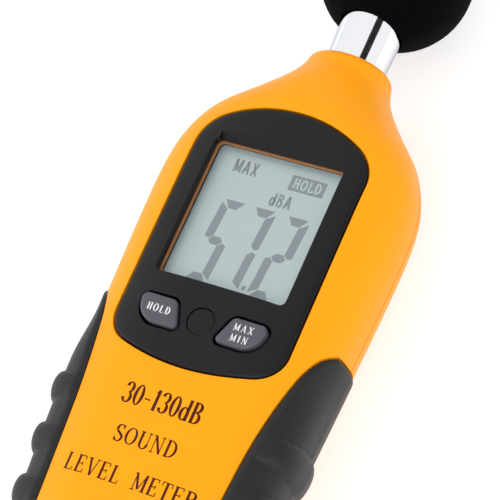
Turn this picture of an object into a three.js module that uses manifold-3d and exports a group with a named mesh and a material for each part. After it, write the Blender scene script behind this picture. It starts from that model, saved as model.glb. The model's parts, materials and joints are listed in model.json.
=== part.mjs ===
// Hand-held sound level meter, millimetres, +Z up, lying on its flat back with the display facing up.
// +Y runs towards the microphone and +X to the right as the display is read.
// Lengths along the meter are measured from the middle of the display window; the last lines of the
// file move the whole assembly so that the origin is under the centre of its bounding box.
import * as THREE from "three";
import { mergeVertices } from "three/addons/utils/BufferGeometryUtils.js";
import Module from "manifold-3d";

const wasm = await Module();
wasm.setup();

// ---------------------------------------------------------------- driving dimensions
const CASE_BOTTOM_Y = -108; // lower end of the case
const CASE_TOP_Y = 44.7; // end of the collar that holds the microphone tube
const CASE_HALF_WIDTH = 28.3; // at its widest
const PARTING_Z = 18.2; // where the two shells meet
const FRONT_HEIGHT = 15.8; // crown of the front over the parting plane
const BACK_DEPTH = 22; // depth of the full back section, which the flat at z = 0 cuts off
const WALL = 2.2; // shell wall
const PARTING_GAP = 0.3; // shadow line between the two shells
const END_FILLET = 9; // rounding of the lower end
const COLLAR_FILLET = 2; // rounding of the collar's rim
const FIT_GAP = 0.3; // clearance between pieces that touch
const LOOSE_GAP = 0.2; // round screws and under flanges
const NEAR_GAP = 0.1; // between pieces held side by side
const SEAT_GAP = 0.05; // between pieces that rest on each other

// Microphone
const MIC_AXIS_Z = 17.2; // height of the microphone's axis over the back
const TUBE_RADIUS = 6.5; // where it leaves the collar
const TUBE_FLARE = 0.45; // and how much wider it is at its end
const TUBE_WALL = 0.7;
const COLLAR_WALL = 3.0; // collar round the tube
const TUBE_SHOWN = 9.5; // length of tube between the collar and the foam
const TUBE_IN_CASE = 14;
const TUBE_IN_FOAM = 17.4;
const CAPSULE = { radius: 4.85, length: 6 };
const CAPSULE_DEPTH = 0.8; // capsule behind the grille
const PLUG_LENGTH = 8;
const PLUG_HOLE_RADIUS = 1.4;
const GRILLE_THICKNESS = 0.8;
const GRILLE_DEPTH = 0.6; // grille inside the tube's end
const GRILLE_HOLE_RADIUS = 0.7;
const FOAM_RADIUS = 17.0;
const FOAM_BORE_END = 1; // free space between the tube's end and the end of the foam's bore
const LEAD_RADIUS = 0.7;

// Case outline between the collar (0) and the widest section (1): [y, width, front, back]
const COLLAR_RADIUS = TUBE_RADIUS + COLLAR_WALL;
const STATIONS = [
  [CASE_BOTTOM_Y, 0.58, 0.72, 0.86],
  [CASE_BOTTOM_Y * 0.88, 0.72, 0.88, 1],
  [CASE_BOTTOM_Y * 0.67, 0.76, 0.94, 1],
  [CASE_BOTTOM_Y * 0.43, 0.88, 1, 1],
  [CASE_BOTTOM_Y * 0.21, 0.95, 1, 1],
  [0, 1, 1, 1],
  [CASE_TOP_Y - 33, 0.99, 1, 1],
  [CASE_TOP_Y - 26, 0.91, 0.97, 0.95],
  [CASE_TOP_Y - 19, 0.71, 0.88, 0.77],
  [CASE_TOP_Y - 12.5, 0.38, 0.63, 0.4],
  [CASE_TOP_Y - 7, 0.13, 0.32, 0.11],
  [CASE_TOP_Y - 3, 0.02, 0.05, 0.01],
  [CASE_TOP_Y, 0, 0, 0],
];
const FRONT_ROUNDNESS = 3; // superellipse exponents of the case's section: a full, flat front
const BACK_ROUNDNESS = 1.8; // and a boat-shaped back
const COLLAR_ROUNDNESS = 2; // both become round at the collar
const NECK_START_Y = CASE_TOP_Y - 25;
const NECK_END_Y = CASE_TOP_Y - 5;
const NECK_FLOOR_Y = CASE_TOP_Y - 9; // the collar is solid round the tube from here on

// Display and bezel
const BEZEL = { halfWidth: 19.6, top: 25, bottom: -34.4, topRadius: 32, bottomRadius: 47 };
const BEZEL_CORNERS = { top: 8, bottom: 7 };
const BEZEL_BACK_Z = 30.8; // flat underside of the bezel
const RECESS_FLOOR_Z = BEZEL_BACK_Z - 0.1;
const FLOOR_THICKNESS = 1.4; // shell left under the bezel
const CEILING_Z = RECESS_FLOOR_Z - FLOOR_THICKNESS;
const WINDOW = { halfWidth: 14.8, top: 15.6, bottom: -16.1, corner: 1.2 }; // opening in the bezel
const WINDOW_RAMP = { low: 0.8, reach: 8 }; // slope above the window, over the bezel's underside
const GASKET_LIP = 0.6; // gasket that shows inside the bezel's opening
const GASKET_THICKNESS = 0.35;
const LENS_THICKNESS = 1.0;
const LENS_MARGIN = 1.6; // lens under the bezel on each side of the opening
const LCD_TOP_Z = 28.4;
const LCD_THICKNESS = 2.0;
const LCD_MARGIN = 1.6;
const BACKLIGHT_MARGIN = 0.6;
const BACKLIGHT_THICKNESS = 2.2;
const FRAME_WALL = 1.3; // display frame
const FRAME_INSIDE = LCD_MARGIN + FIT_GAP; // beyond the window's opening
const DISPLAY_FRAME_MARGIN = FRAME_INSIDE + FRAME_WALL;
const ZEBRA = { halfLength: 14, width: 0.9 }; // strip that joins the display to the board

// Board
const BOARD_TOP_Z = 23.4;
const BOARD_THICKNESS = 1.6;
const BOARD = { halfWidth: 20, top: 23, bottom: -58, corner: 3 };
const BOARD_SCREW = { x: 17, y: -36, headRadius: 1.8, shankRadius: 0.7, postRadius: 2.2 };

// Keys
const KEY_PROUD = 0.8; // how far a key stands over the bezel
const KEY_CHAMFER = 0.5;
const KEY_GAP = 0.55; // groove round a key
const KEY_TRAVEL = 0.6;
const KEY_FLANGE = 1.0;
const KEY_CENTRE = { x: 9.6, y: -24.5 };
const KEY_CORNERS = [
  [-14.5, -21.4, 1.4],
  [-6.5, -21.4, 1.5],
  [-4.0, -27.5, 1.0],
  [-13.4, -27.5, 4.6],
]; // left key: x, y and radius of each corner; the right key mirrors it
const POWER_KEY = { y: -24.3, radius: 2.75, flange: 0.8 };
const SWITCH = { side: 6, bodyHeight: 2.7, height: 3.5, plungerRadius: 1.7 };

// Grips
const GRIP_DEPTH = 1.2; // pocket in the shells
const GRIP_PROUD = 0.5;
const GRIP_SWELL = { height: 1, top: -25, full: -38, middle: 0.4, spread: 0.6 }; // fuller at the front
const GRIP_TOP_Y = -20.6;
const GRIP_BOTTOM_Y = CASE_BOTTOM_Y + 7.5;
const GRIP_BACK_Z = 10.5; // straight edge of a grip towards the back
const GRIP_EDGE = [
  [0, 11.7],
  [0.35, 10.5],
  [0.52, 9.6],
  [0.72, 8.2],
  [0.89, 5.7],
  [0.96, 3.7],
  [1, 1.5],
]; // front edge: share of the grip's length from its lower end, and distance in from the widest line
const RIDGE = { pitch: 11.3, count: 4, first: GRIP_TOP_Y - 23.4, height: 1.3, halfLength: 3 };

// Batteries
const CELL = { radius: 5.25, length: 43.7, nubRadius: 1.9, nubLength: 0.8 };
const CELL_PITCH = 11;
const CELL_Z = 10.4;
const CONTACT_SPACE = 3.4; // room for a spring or a plate at each end of the cells
const CONTACT = { half: 4, thickness: 0.4 };
const SPRING = { turns: 3, wire: 0.35, wide: 3.4, narrow: 1.8 };
const TRAY_WALL = 1.2;
const TRAY_GAP = 0.4; // between the tray and the door's opening
const HINGE_SPACE = 2.2; // room for the door's hinge beyond the tray
const DOOR_THICKNESS = 1.8;
const DOOR_SUNK = 0.2; // the door sits this far inside the case's surface
const DOOR_CORNER = 2;
const HINGE = { halfLength: 8, pinRadius: 0.5, lugLength: 1.5, bearingGap: 0.2, edgeCut: 0.25 };
const THUMB_RIBS = { count: 4, pitch: 2, halfLength: 6, width: 1, depth: 0.5, inset: 5 };
const PAD = { halfWidth: 14, length: 12, thickness: 2.4 }; // foam strip that steadies the cells

// Screws
const CASE_SCREWS = [
  [15.5, CASE_TOP_Y - 21.7],
  [-15.5, CASE_TOP_Y - 21.7],
  [12.5, CASE_BOTTOM_Y + 6.9],
  [-12.5, CASE_BOTTOM_Y + 6.9],
];
const SCREW = { headRadius: 2.6, headHeight: 1.8, shankRadius: 1.2, slot: 0.6, slotLength: 3 };
const BOSS_RADIUS = 3.2;
const BOSS_GAP = 0.4; // between a boss and the parting plane
const SCREW_SEAT_Z = 6.5;
const SCREW_TIP_Z = 25;

// ---------------------------------------------------------------- materials
const finish = (color, roughness, metalness = 0) => () =>
  new THREE.MeshStandardMaterial({ color, roughness, metalness });
const ORANGE_ABS = finish(0xfba60a, 0.38);
const BLACK_ABS = finish(0x26262a, 0.5);
const DARK_RUBBER = finish(0x38393b, 0.75);
const KEY_RUBBER = finish(0x55565c, 0.6);
const FOAM = finish(0x0c0c0d, 1);
const CHROME = finish(0xe6e8ec, 0.12, 1);
const TAN_GASKET = finish(0xb07a44, 0.7);
const CLEAR_ACRYLIC = finish(0xeaf2f2, 0.08);
const LCD_GLASS = finish(0xb7c4c3, 0.2);
const WHITE_ACRYLIC = finish(0xf0f0ea, 0.5);
const BOARD_GREEN = finish(0x1f6b3a, 0.5);
const CARBON_RUBBER = finish(0xb9a7b0, 0.7);
const CHIP_EPOXY = finish(0x1b1b1d, 0.4);
const NICKEL = finish(0xc9c7bf, 0.3, 1);
const CELL_JACKET = finish(0x2c4f8f, 0.35);
const STEEL = finish(0x9a9ca0, 0.35, 1);
const RED_PVC = finish(0xb3261e, 0.5);
const BLACK_PVC = finish(0x1c1c1c, 0.5);

// ---------------------------------------------------------------- solids
// A closed three.js geometry as a manifold-3d solid, for cutting and joining.
function solid(geometry) {
  const bare = geometry.index ? geometry.toNonIndexed() : geometry.clone();
  bare.deleteAttribute("normal");
  bare.deleteAttribute("uv");
  const merged = mergeVertices(bare, 1e-4);
  return new wasm.Manifold(
    new wasm.Mesh({
      numProp: 3,
      vertProperties: new Float32Array(merged.attributes.position.array),
      triVerts: new Uint32Array(merged.index.array),
    }),
  );
}

function geometryOf(manifold) {
  const mesh = manifold.getMesh();
  const points = new Float32Array(mesh.numVert * 3);
  for (let i = 0; i < mesh.numVert; i++)
    points.set(mesh.vertProperties.subarray(i * mesh.numProp, i * mesh.numProp + 3), i * 3);
  const geometry = new THREE.BufferGeometry();
  geometry.setAttribute("position", new THREE.BufferAttribute(points, 3));
  geometry.setIndex(new THREE.BufferAttribute(new Uint32Array(mesh.triVerts), 1));
  return geometry;
}

// A box given by its lowest and highest corner.
function block(low, high) {
  const size = high.map((v, i) => v - low[i]);
  const geometry = new THREE.BoxGeometry(...size);
  geometry.translate(...low.map((v, i) => v + size[i] / 2));
  return solid(geometry);
}

// A plan outline carried straight up from z0 to z1.
function prism(shape, z0, z1, curveSegments = 4) {
  const geometry = new THREE.ExtrudeGeometry(shape, {
    depth: z1 - z0,
    bevelEnabled: false,
    curveSegments,
  });
  geometry.translate(0, 0, z0);
  return solid(geometry);
}

// A profile of [radius, height] points turned about the Z axis.
function turned(profile, segments = 16) {
  return solid(new THREE.LatheGeometry(profile.map(([r, h]) => new THREE.Vector2(r, h)), segments)
    .rotateX(Math.PI / 2));
}

// The same, turned about an axis along Y through x, z.
function turnedAlongY(profile, x, z, segments = 24) {
  const points = profile.map(([r, y]) => new THREE.Vector2(r, y));
  return solid(new THREE.LatheGeometry(points, segments).translate(x, 0, z));
}

const join = (list) => list.reduce((sum, next) => sum.add(next));

const rod = (r, z0, z1, x, y, segments = 12) =>
  turned([[0, z0], [r, z0], [r, z1], [0, z1]], segments).translate([x, y, 0]);

// A round section carried along a smooth curve through the given points.
function wire(points, radius, steps, sides = 6) {
  const curve = new THREE.CatmullRomCurve3(points.map((p) => new THREE.Vector3(...p)));
  const section = new THREE.Shape();
  for (let i = 0; i < sides; i++) {
    const angle = (2 * Math.PI * i) / sides;
    const at = [radius * Math.cos(angle), radius * Math.sin(angle)];
    if (i) section.lineTo(...at);
    else section.moveTo(...at);
  }
  section.closePath();
  return solid(new THREE.ExtrudeGeometry(section, { steps, extrudePath: curve }));
}

// ---------------------------------------------------------------- case surface
const smoothStep = (t) => t * t * (3 - 2 * t);
const clamp01 = (t) => Math.min(1, Math.max(0, t));

// Smooth value through table rows [y, ...values] at y (Catmull-Rom with uneven steps).
function through(table, y, column) {
  const last = table.length - 1;
  const at = Math.min(Math.max(y, table[0][0]), table[last][0]);
  let i = 0;
  while (i < last - 1 && at > table[i + 1][0]) i++;
  const slope = (k) => {
    const low = Math.max(k - 1, 0);
    const high = Math.min(k + 1, last);
    return (table[high][column] - table[low][column]) / (table[high][0] - table[low][0]);
  };
  const span = table[i + 1][0] - table[i][0];
  const t = (at - table[i][0]) / span;
  const [p, q] = [table[i][column], table[i + 1][column]];
  const [m, n] = [slope(i) * span, slope(i + 1) * span];
  return (
    p * (2 * t ** 3 - 3 * t ** 2 + 1) +
    m * (t ** 3 - 2 * t ** 2 + t) +
    q * (3 * t ** 2 - 2 * t ** 3) +
    n * (t ** 3 - t ** 2)
  );
}

// How far a fillet of this radius has drawn the surface in, at a distance from the end.
const filletInset = (radius, distance) =>
  distance >= radius ? 0 : radius - Math.sqrt(radius ** 2 - (radius - Math.max(distance, 0)) ** 2);

// Half width, front height, back depth and exponents of the case's section at y.
function section(y) {
  const neck = smoothStep(clamp01((y - NECK_START_Y) / (NECK_END_Y - NECK_START_Y)));
  const inset =
    filletInset(END_FILLET, y - CASE_BOTTOM_Y) + filletInset(COLLAR_FILLET, CASE_TOP_Y - y);
  const mix = (a, b, share) => a + (b - a) * share;
  const collarFront = COLLAR_RADIUS + MIC_AXIS_Z - PARTING_Z;
  const collarBack = COLLAR_RADIUS - MIC_AXIS_Z + PARTING_Z;
  return {
    halfWidth: mix(COLLAR_RADIUS, CASE_HALF_WIDTH, through(STATIONS, y, 1)) - inset,
    front: mix(collarFront, FRONT_HEIGHT, through(STATIONS, y, 2)) - inset,
    back: mix(collarBack, BACK_DEPTH, through(STATIONS, y, 3)) - inset,
    frontPower: mix(FRONT_ROUNDNESS, COLLAR_ROUNDNESS, neck),
    backPower: mix(BACK_ROUNDNESS, COLLAR_ROUNDNESS, neck),
  };
}

// Point of the case's section at y, at an angle from +X over the front, moved out by offset.
function casePoint(y, angle, offset) {
  const s = section(Math.min(Math.max(y, CASE_BOTTOM_Y), CASE_TOP_Y));
  const isFront = Math.sin(angle) >= 0;
  const power = isFront ? s.frontPower : s.backPower;
  const reach = isFront ? s.front : s.back;
  const signed = (v) => Math.sign(v) * Math.abs(v) ** (2 / power);
  const x = (s.halfWidth + offset) * signed(Math.cos(angle));
  const z = PARTING_Z + (reach + offset) * signed(Math.sin(angle));
  return [x, Math.max(z, -offset)];
}

function surfaceZ(x, y) {
  const s = section(y);
  const share = Math.min(1, Math.abs(x) / s.halfWidth);
  return PARTING_Z + s.front * (1 - share ** s.frontPower) ** (1 / s.frontPower);
}

// Solid inside the case's surface moved out by offset, or by offset(y, angle), through the given y.
const CASE_SIDES = 32;
function caseSolid(offset, ys, sides = CASE_SIDES) {
  const points = [];
  for (const y of ys)
    for (let j = 0; j < sides; j++) {
      const angle = (2 * Math.PI * j) / sides;
      const [x, z] = casePoint(y, angle, typeof offset === "function" ? offset(y, angle) : offset);
      points.push(x, y, z);
    }
  const faces = [];
  const at = (i, j) => i * sides + (j % sides);
  const last = ys.length - 1;
  const lowCentre = ys.length * sides;
  points.push(0, ys[0], PARTING_Z, 0, ys[last], PARTING_Z);
  for (let j = 0; j < sides; j++) {
    for (let i = 0; i < last; i++) {
      faces.push(at(i, j), at(i + 1, j), at(i + 1, j + 1));
      faces.push(at(i, j), at(i + 1, j + 1), at(i, j + 1));
    }
    faces.push(lowCentre, at(0, j), at(0, j + 1));
    faces.push(lowCentre + 1, at(last, j + 1), at(last, j));
  }
  const geometry = new THREE.BufferGeometry();
  geometry.setAttribute("position", new THREE.BufferAttribute(new Float32Array(points), 3));
  geometry.setIndex(faces);
  return solid(geometry);
}

// The y values at which the case is sampled, closest at its fillets and its neck.
const CASE_YS = [
  ...[0, 0.08, 0.28, 0.6, 1].map((share) => CASE_BOTTOM_Y + END_FILLET * share),
  ...STATIONS.slice(2, 7).map(([y]) => y),
  ...[29.5, 25, 21.5, 18, 15, 12, 9.5, 7, 4].map((distance) => CASE_TOP_Y - distance),
  ...[1, 0.4, 0].map((share) => CASE_TOP_Y - COLLAR_FILLET * share),
].sort((a, b) => a - b);
const caseYsBetween = (low, high) => [low, ...CASE_YS.filter((y) => y > low && y < high), high];

const caseOuter = caseSolid(0, CASE_YS);
const cavity = caseSolid(-WALL, caseYsBetween(CASE_BOTTOM_Y + WALL, NECK_FLOOR_Y));

const FAR = 200;
const aboveParting = block([-FAR, -FAR, PARTING_Z + PARTING_GAP / 2], [FAR, FAR, FAR]);
const belowParting = block([-FAR, -FAR, -FAR], [FAR, FAR, PARTING_Z - PARTING_GAP / 2]);

// ---------------------------------------------------------------- plan outlines
// Bezel outline: two straight sides, a wide arc at each end and a tangent corner arc between them.
function bezelOutline(grow) {
  const half = BEZEL.halfWidth + grow;
  const end = (reach, radius, corner) => {
    const wide = radius + grow;
    const small = corner + grow;
    const centre = reach + grow - wide;
    const cornerX = half - small;
    const cornerY = centre + Math.sqrt((wide - small) ** 2 - cornerX ** 2);
    return { wide, small, centre, cornerX, cornerY, lean: Math.asin(cornerX / (wide - small)) };
  };
  const top = end(BEZEL.top, BEZEL.topRadius, BEZEL_CORNERS.top);
  const low = end(-BEZEL.bottom, BEZEL.bottomRadius, BEZEL_CORNERS.bottom);
  const quarter = Math.PI / 2;
  const shape = new THREE.Shape();
  shape.moveTo(half, top.cornerY);
  shape.absarc(top.cornerX, top.cornerY, top.small, 0, quarter - top.lean, false);
  shape.absarc(0, top.centre, top.wide, quarter - top.lean, quarter + top.lean, false);
  shape.absarc(-top.cornerX, top.cornerY, top.small, quarter + top.lean, 2 * quarter, false);
  shape.absarc(-low.cornerX, -low.cornerY, low.small, 2 * quarter, 3 * quarter - low.lean, false);
  shape.absarc(0, -low.centre, low.wide, 3 * quarter - low.lean, 3 * quarter + low.lean, false);
  shape.absarc(low.cornerX, -low.cornerY, low.small, 3 * quarter + low.lean, 4 * quarter, false);
  return shape;
}

function roundedRectangle(left, right, bottom, top, radius) {
  const shape = new THREE.Shape();
  shape.moveTo(right, bottom + radius);
  shape.absarc(right - radius, top - radius, radius, 0, Math.PI / 2, false);
  shape.absarc(left + radius, top - radius, radius, Math.PI / 2, Math.PI, false);
  shape.absarc(left + radius, bottom + radius, radius, Math.PI, 1.5 * Math.PI, false);
  shape.absarc(right - radius, bottom + radius, radius, 1.5 * Math.PI, 2 * Math.PI, false);
  return shape;
}

const windowOutline = (grow) =>
  roundedRectangle(
    -WINDOW.halfWidth - grow,
    WINDOW.halfWidth + grow,
    WINDOW.bottom - grow,
    WINDOW.top + grow,
    WINDOW.corner,
  );

// Outline of a key: straight edges between rounded corners, all moved out by grow.
function keyOutline(side, grow) {
  const corners = KEY_CORNERS.map(([x, y, r]) => [side < 0 ? x : -x, y, r]);
  if (side > 0) corners.reverse();
  const count = corners.length;
  const points = [];
  const CORNER_STEPS = 4;
  corners.forEach(([x, y, r], i) => {
    const before = corners[(i + count - 1) % count];
    const after = corners[(i + 1) % count];
    const unit = (p) => new THREE.Vector2(p[0] - x, p[1] - y).normalize();
    const [u, v] = [unit(before), unit(after)];
    const half = u.angleTo(v) / 2;
    const middle = u.clone().add(v).normalize().multiplyScalar(r / Math.sin(half));
    const centre = new THREE.Vector2(x, y).add(middle);
    const spread = Math.PI / 2 - half;
    const outward = Math.atan2(-middle.y, -middle.x);
    for (let k = 0; k <= CORNER_STEPS; k++) {
      const angle = outward + spread * (1 - (2 * k) / CORNER_STEPS);
      const reach = r + grow;
      points.push([centre.x + reach * Math.cos(angle), centre.y + reach * Math.sin(angle)]);
    }
  });
  const shape = new THREE.Shape();
  points.forEach(([x, y], i) => (i ? shape.lineTo(x, y) : shape.moveTo(x, y)));
  shape.closePath();
  return shape;
}

function circleOutline(x, y, radius) {
  const shape = new THREE.Shape();
  shape.absarc(x, y, radius, 0, 2 * Math.PI, false);
  return shape;
}

// ---------------------------------------------------------------- grips
const ridgeYs = Array.from({ length: RIDGE.count }, (_, i) => RIDGE.first - i * RIDGE.pitch);

// Height of a grip over the case: a swell towards the front, and finger ridges that close to a
// point at its front edge.
function gripHeight(y, angle) {
  const fromSide = Math.atan2(Math.sin(angle), Math.abs(Math.cos(angle)));
  const { height, top, full, middle, spread } = GRIP_SWELL;
  const across = smoothStep(clamp01(1 - Math.abs(fromSide - middle) / spread));
  const swell = height * across * smoothStep(clamp01((top - y) / (top - full)));
  const nearest = Math.min(...ridgeYs.map((centre) => Math.abs(y - centre)));
  const along = Math.sqrt(1 - Math.min(nearest / RIDGE.halfLength, 1) ** 2);
  const share = clamp01((1 - Math.abs(fromSide - 0.1) / 0.85) * 1.6);
  return GRIP_PROUD + swell + RIDGE.height * smoothStep(share) * along;
}

// Everything outside one grip's front edge, between its lower and upper end.
function gripRegion(side, grow) {
  const shape = new THREE.Shape();
  const length = GRIP_TOP_Y - GRIP_BOTTOM_Y;
  shape.moveTo(FAR, GRIP_BOTTOM_Y - grow);
  shape.lineTo(FAR, GRIP_TOP_Y + grow);
  const STEPS = 12;
  for (let i = STEPS; i >= 0; i--) {
    const share = 1 - (1 - i / STEPS) ** 2;
    const x = CASE_HALF_WIDTH - through(GRIP_EDGE, share, 1) - grow;
    shape.lineTo(x, GRIP_BOTTOM_Y - grow + (length + 2 * grow) * share);
  }
  shape.closePath();
  const region = prism(shape, GRIP_BACK_Z - grow, FAR);
  return side > 0 ? region : region.mirror([1, 0, 0]);
}

const gripYs = caseYsBetween(GRIP_BOTTOM_Y - 2, GRIP_TOP_Y + 2);
const ridgedYs = [
  ...gripYs,
  ...ridgeYs.flatMap((y) => [-1, -0.85, -0.4, 0.4, 0.85, 1].map((share) => y + RIDGE.halfLength * share)),
].sort((a, b) => a - b);
const gripOuter = caseSolid(gripHeight, ridgedYs);
const gripInner = caseSolid(FIT_GAP - GRIP_DEPTH, gripYs);
const gripShape = (side) => gripOuter.subtract(gripInner).intersect(gripRegion(side, 0));
const pocketFloor = caseSolid(-GRIP_DEPTH, gripYs);
const pocketMouth = caseSolid(GRIP_PROUD, gripYs);
const gripPocket = (side) =>
  pocketMouth.subtract(pocketFloor).intersect(gripRegion(side, FIT_GAP));

// ---------------------------------------------------------------- shells
const bosses = (radius, z0, z1) => join(CASE_SCREWS.map(([x, y]) => rod(radius, z0, z1, x, y)));

const alongMic = (profile, segments) => turnedAlongY(profile, 0, MIC_AXIS_Z, segments);
const disc = (radius, y0, y1) => [[0, y0], [radius, y0], [radius, y1], [0, y1]];
const tubeBore = alongMic(disc(TUBE_RADIUS + FIT_GAP, NECK_FLOOR_Y - 12, CASE_TOP_Y + 1), 24);

const boardScrewPlaces = [
  [BOARD_SCREW.x, BOARD_SCREW.y],
  [-BOARD_SCREW.x, BOARD_SCREW.y],
];

function frontHousing() {
  const underBezel = block(
    [-BEZEL.halfWidth - 3, BEZEL.bottom - 3, CEILING_Z],
    [BEZEL.halfWidth + 3, BEZEL.top + 3, FAR],
  );
  const boardPosts = boardScrewPlaces.map(([x, y]) =>
    rod(BOARD_SCREW.postRadius, BOARD_TOP_Z + LOOSE_GAP, CEILING_Z + 0.5, x, y),
  );
  const boardPilots = boardScrewPlaces.map(([x, y]) =>
    rod(BOARD_SCREW.shankRadius + LOOSE_GAP, 0, CEILING_Z, x, y, 8),
  );
  const hollow = cavity
    .subtract(underBezel)
    .subtract(bosses(BOSS_RADIUS, PARTING_Z + BOSS_GAP, FAR))
    .subtract(join(boardPosts));
  let shell = caseOuter
    .subtract(hollow)
    .intersect(aboveParting)
    .subtract(prism(bezelOutline(FIT_GAP), RECESS_FLOOR_Z, FAR))
    .subtract(prism(windowOutline(LENS_MARGIN + FIT_GAP), 0, FAR))
    .subtract(prism(windowOutline(DISPLAY_FRAME_MARGIN + FIT_GAP), 0, CEILING_Z))
    .subtract(tubeBore)
    .subtract(join(boardPilots))
    .subtract(bosses(SCREW.shankRadius + LOOSE_GAP, 0, SCREW_TIP_Z + 0.5))
    .subtract(prism(circleOutline(0, POWER_KEY.y, POWER_KEY.radius + FIT_GAP), 0, FAR));
  for (const side of [-1, 1])
    shell = shell.subtract(prism(keyOutline(side, KEY_GAP), 0, FAR)).subtract(gripPocket(side));
  return shell;
}

function rearHousing() {
  let shell = caseOuter
    .subtract(cavity.subtract(bosses(BOSS_RADIUS, -1, PARTING_Z - BOSS_GAP)))
    .intersect(belowParting)
    .subtract(prism(bayOutline(0), -1, PARTING_Z))
    .subtract(tubeBore)
    .subtract(bosses(SCREW.shankRadius + FIT_GAP, -2, FAR))
    .subtract(bosses(SCREW.headRadius + FIT_GAP, -2, SCREW_SEAT_Z));
  for (const side of [-1, 1]) shell = shell.subtract(gripPocket(side));
  return shell.add(hingeLugs());
}

// ---------------------------------------------------------------- display
// Slope above the window: a wedge that opens upwards from the window's top edge.
function windowRamp() {
  const low = BEZEL_BACK_Z + WINDOW_RAMP.low;
  const halfLength = WINDOW.halfWidth - WINDOW.corner;
  const shape = new THREE.Shape();
  shape.moveTo(WINDOW.top - 0.5, low);
  shape.lineTo(WINDOW.top, low);
  shape.lineTo(WINDOW.top + WINDOW_RAMP.reach, low + WINDOW_RAMP.reach);
  shape.lineTo(WINDOW.top - 0.5, low + WINDOW_RAMP.reach);
  shape.closePath();
  const geometry = new THREE.ExtrudeGeometry(shape, {
    depth: 2 * halfLength,
    bevelEnabled: false,
  });
  // the outline's own x and y are the meter's y and z
  const turn = new THREE.Matrix4().makeBasis(
    new THREE.Vector3(0, 1, 0),
    new THREE.Vector3(0, 0, 1),
    new THREE.Vector3(1, 0, 0),
  );
  geometry.applyMatrix4(turn);
  geometry.translate(-halfLength, 0, 0);
  return solid(geometry);
}

function bezelPanel() {
  let panel = caseSolid(0, caseYsBetween(BEZEL.bottom - 5, BEZEL.top + 5))
    .intersect(prism(bezelOutline(0), BEZEL_BACK_Z, FAR))
    .subtract(prism(windowOutline(0), 0, FAR))
    .subtract(windowRamp())
    .subtract(prism(windowOutline(LENS_MARGIN), 0, GASKET_TOP_Z + 0.3))
    .subtract(prism(circleOutline(0, POWER_KEY.y, POWER_KEY.radius + FIT_GAP), 0, FAR));
  for (const side of [-1, 1]) panel = panel.subtract(prism(keyOutline(side, KEY_GAP), 0, FAR));
  return panel;
}

const GASKET_TOP_Z = BEZEL_BACK_Z + 0.3;
const LENS_TOP_Z = GASKET_TOP_Z - GASKET_THICKNESS - 0.25;
const windowGasket = () =>
  prism(windowOutline(LENS_MARGIN - FIT_GAP), GASKET_TOP_Z - GASKET_THICKNESS, GASKET_TOP_Z)
    .subtract(prism(windowOutline(-GASKET_LIP), 0, FAR));
const displayWindow = () =>
  prism(windowOutline(LENS_MARGIN), LENS_TOP_Z - LENS_THICKNESS, LENS_TOP_Z);

const LCD_BOTTOM_Z = LCD_TOP_Z - LCD_THICKNESS;
const BACKLIGHT_TOP_Z = LCD_BOTTOM_Z - NEAR_GAP;
const lcdPanel = () => prism(windowOutline(LCD_MARGIN), LCD_BOTTOM_Z, LCD_TOP_Z);
const backlight = () =>
  prism(windowOutline(BACKLIGHT_MARGIN), BACKLIGHT_TOP_Z - BACKLIGHT_THICKNESS, BACKLIGHT_TOP_Z);
function displayFrame() {
  const top = LENS_TOP_Z - LENS_THICKNESS - LOOSE_GAP;
  return prism(windowOutline(DISPLAY_FRAME_MARGIN), BOARD_TOP_Z + NEAR_GAP, top)
    .subtract(prism(windowOutline(FRAME_INSIDE), 0, LCD_TOP_Z + LOOSE_GAP))
    .subtract(prism(windowOutline(0.4), 0, FAR));
}
function zebraStrip() {
  const low = WINDOW.bottom - LCD_MARGIN + SEAT_GAP;
  return block(
    [-ZEBRA.halfLength, low, BOARD_TOP_Z + NEAR_GAP],
    [ZEBRA.halfLength, low + ZEBRA.width, LCD_BOTTOM_Z - NEAR_GAP],
  );
}

// ---------------------------------------------------------------- keys
const SWITCH_LOW_Z = BOARD_TOP_Z + SEAT_GAP;
const KEY_STEM_Z = SWITCH_LOW_Z + SWITCH.height + KEY_TRAVEL + NEAR_GAP;
const FLANGE_TOP_Z = CEILING_Z - LOOSE_GAP;

function keyCap(side) {
  const top = surfaceZ(KEY_CENTRE.x, KEY_CENTRE.y) + KEY_PROUD;
  return prism(keyOutline(side, 0), FLANGE_TOP_Z - LOOSE_GAP, top - KEY_CHAMFER)
    .add(prism(keyOutline(side, -KEY_CHAMFER), FLANGE_TOP_Z, top))
    .add(prism(keyOutline(side, KEY_FLANGE), KEY_STEM_Z, FLANGE_TOP_Z));
}
function powerKey() {
  const { y, radius, flange } = POWER_KEY;
  return rod(radius, FLANGE_TOP_Z - LOOSE_GAP, surfaceZ(0, y) - SEAT_GAP, 0, y, 20)
    .add(rod(radius + flange, KEY_STEM_Z, FLANGE_TOP_Z, 0, y, 20));
}

function tactSwitch(x, y) {
  const half = SWITCH.side / 2;
  const top = SWITCH_LOW_Z + SWITCH.height;
  return block([x - half, y - half, SWITCH_LOW_Z], [x + half, y + half, SWITCH_LOW_Z + SWITCH.bodyHeight])
    .add(rod(SWITCH.plungerRadius, SWITCH_LOW_Z + 1, top, x, y, 10));
}

// ---------------------------------------------------------------- board
const BOARD_BOTTOM_Z = BOARD_TOP_Z - BOARD_THICKNESS;
function mainBoard() {
  const { halfWidth, bottom, top, corner } = BOARD;
  const holes = boardScrewPlaces.map(([x, y]) => rod(BOARD_SCREW.shankRadius + 0.5, 0, FAR, x, y, 8));
  return prism(roundedRectangle(-halfWidth, halfWidth, bottom, top, corner), BOARD_BOTTOM_Z, BOARD_TOP_Z)
    .subtract(bosses(BOSS_RADIUS + 0.6, 0, FAR))
    .subtract(join(holes));
}
function boardScrew([x, y]) {
  const { headRadius, shankRadius } = BOARD_SCREW;
  return rod(headRadius, BOARD_BOTTOM_Z - 1.3, BOARD_BOTTOM_Z - NEAR_GAP, x, y, 10)
    .add(rod(shankRadius, BOARD_BOTTOM_Z - 0.5, BOARD_TOP_Z + 4, x, y, 8));
}

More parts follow.
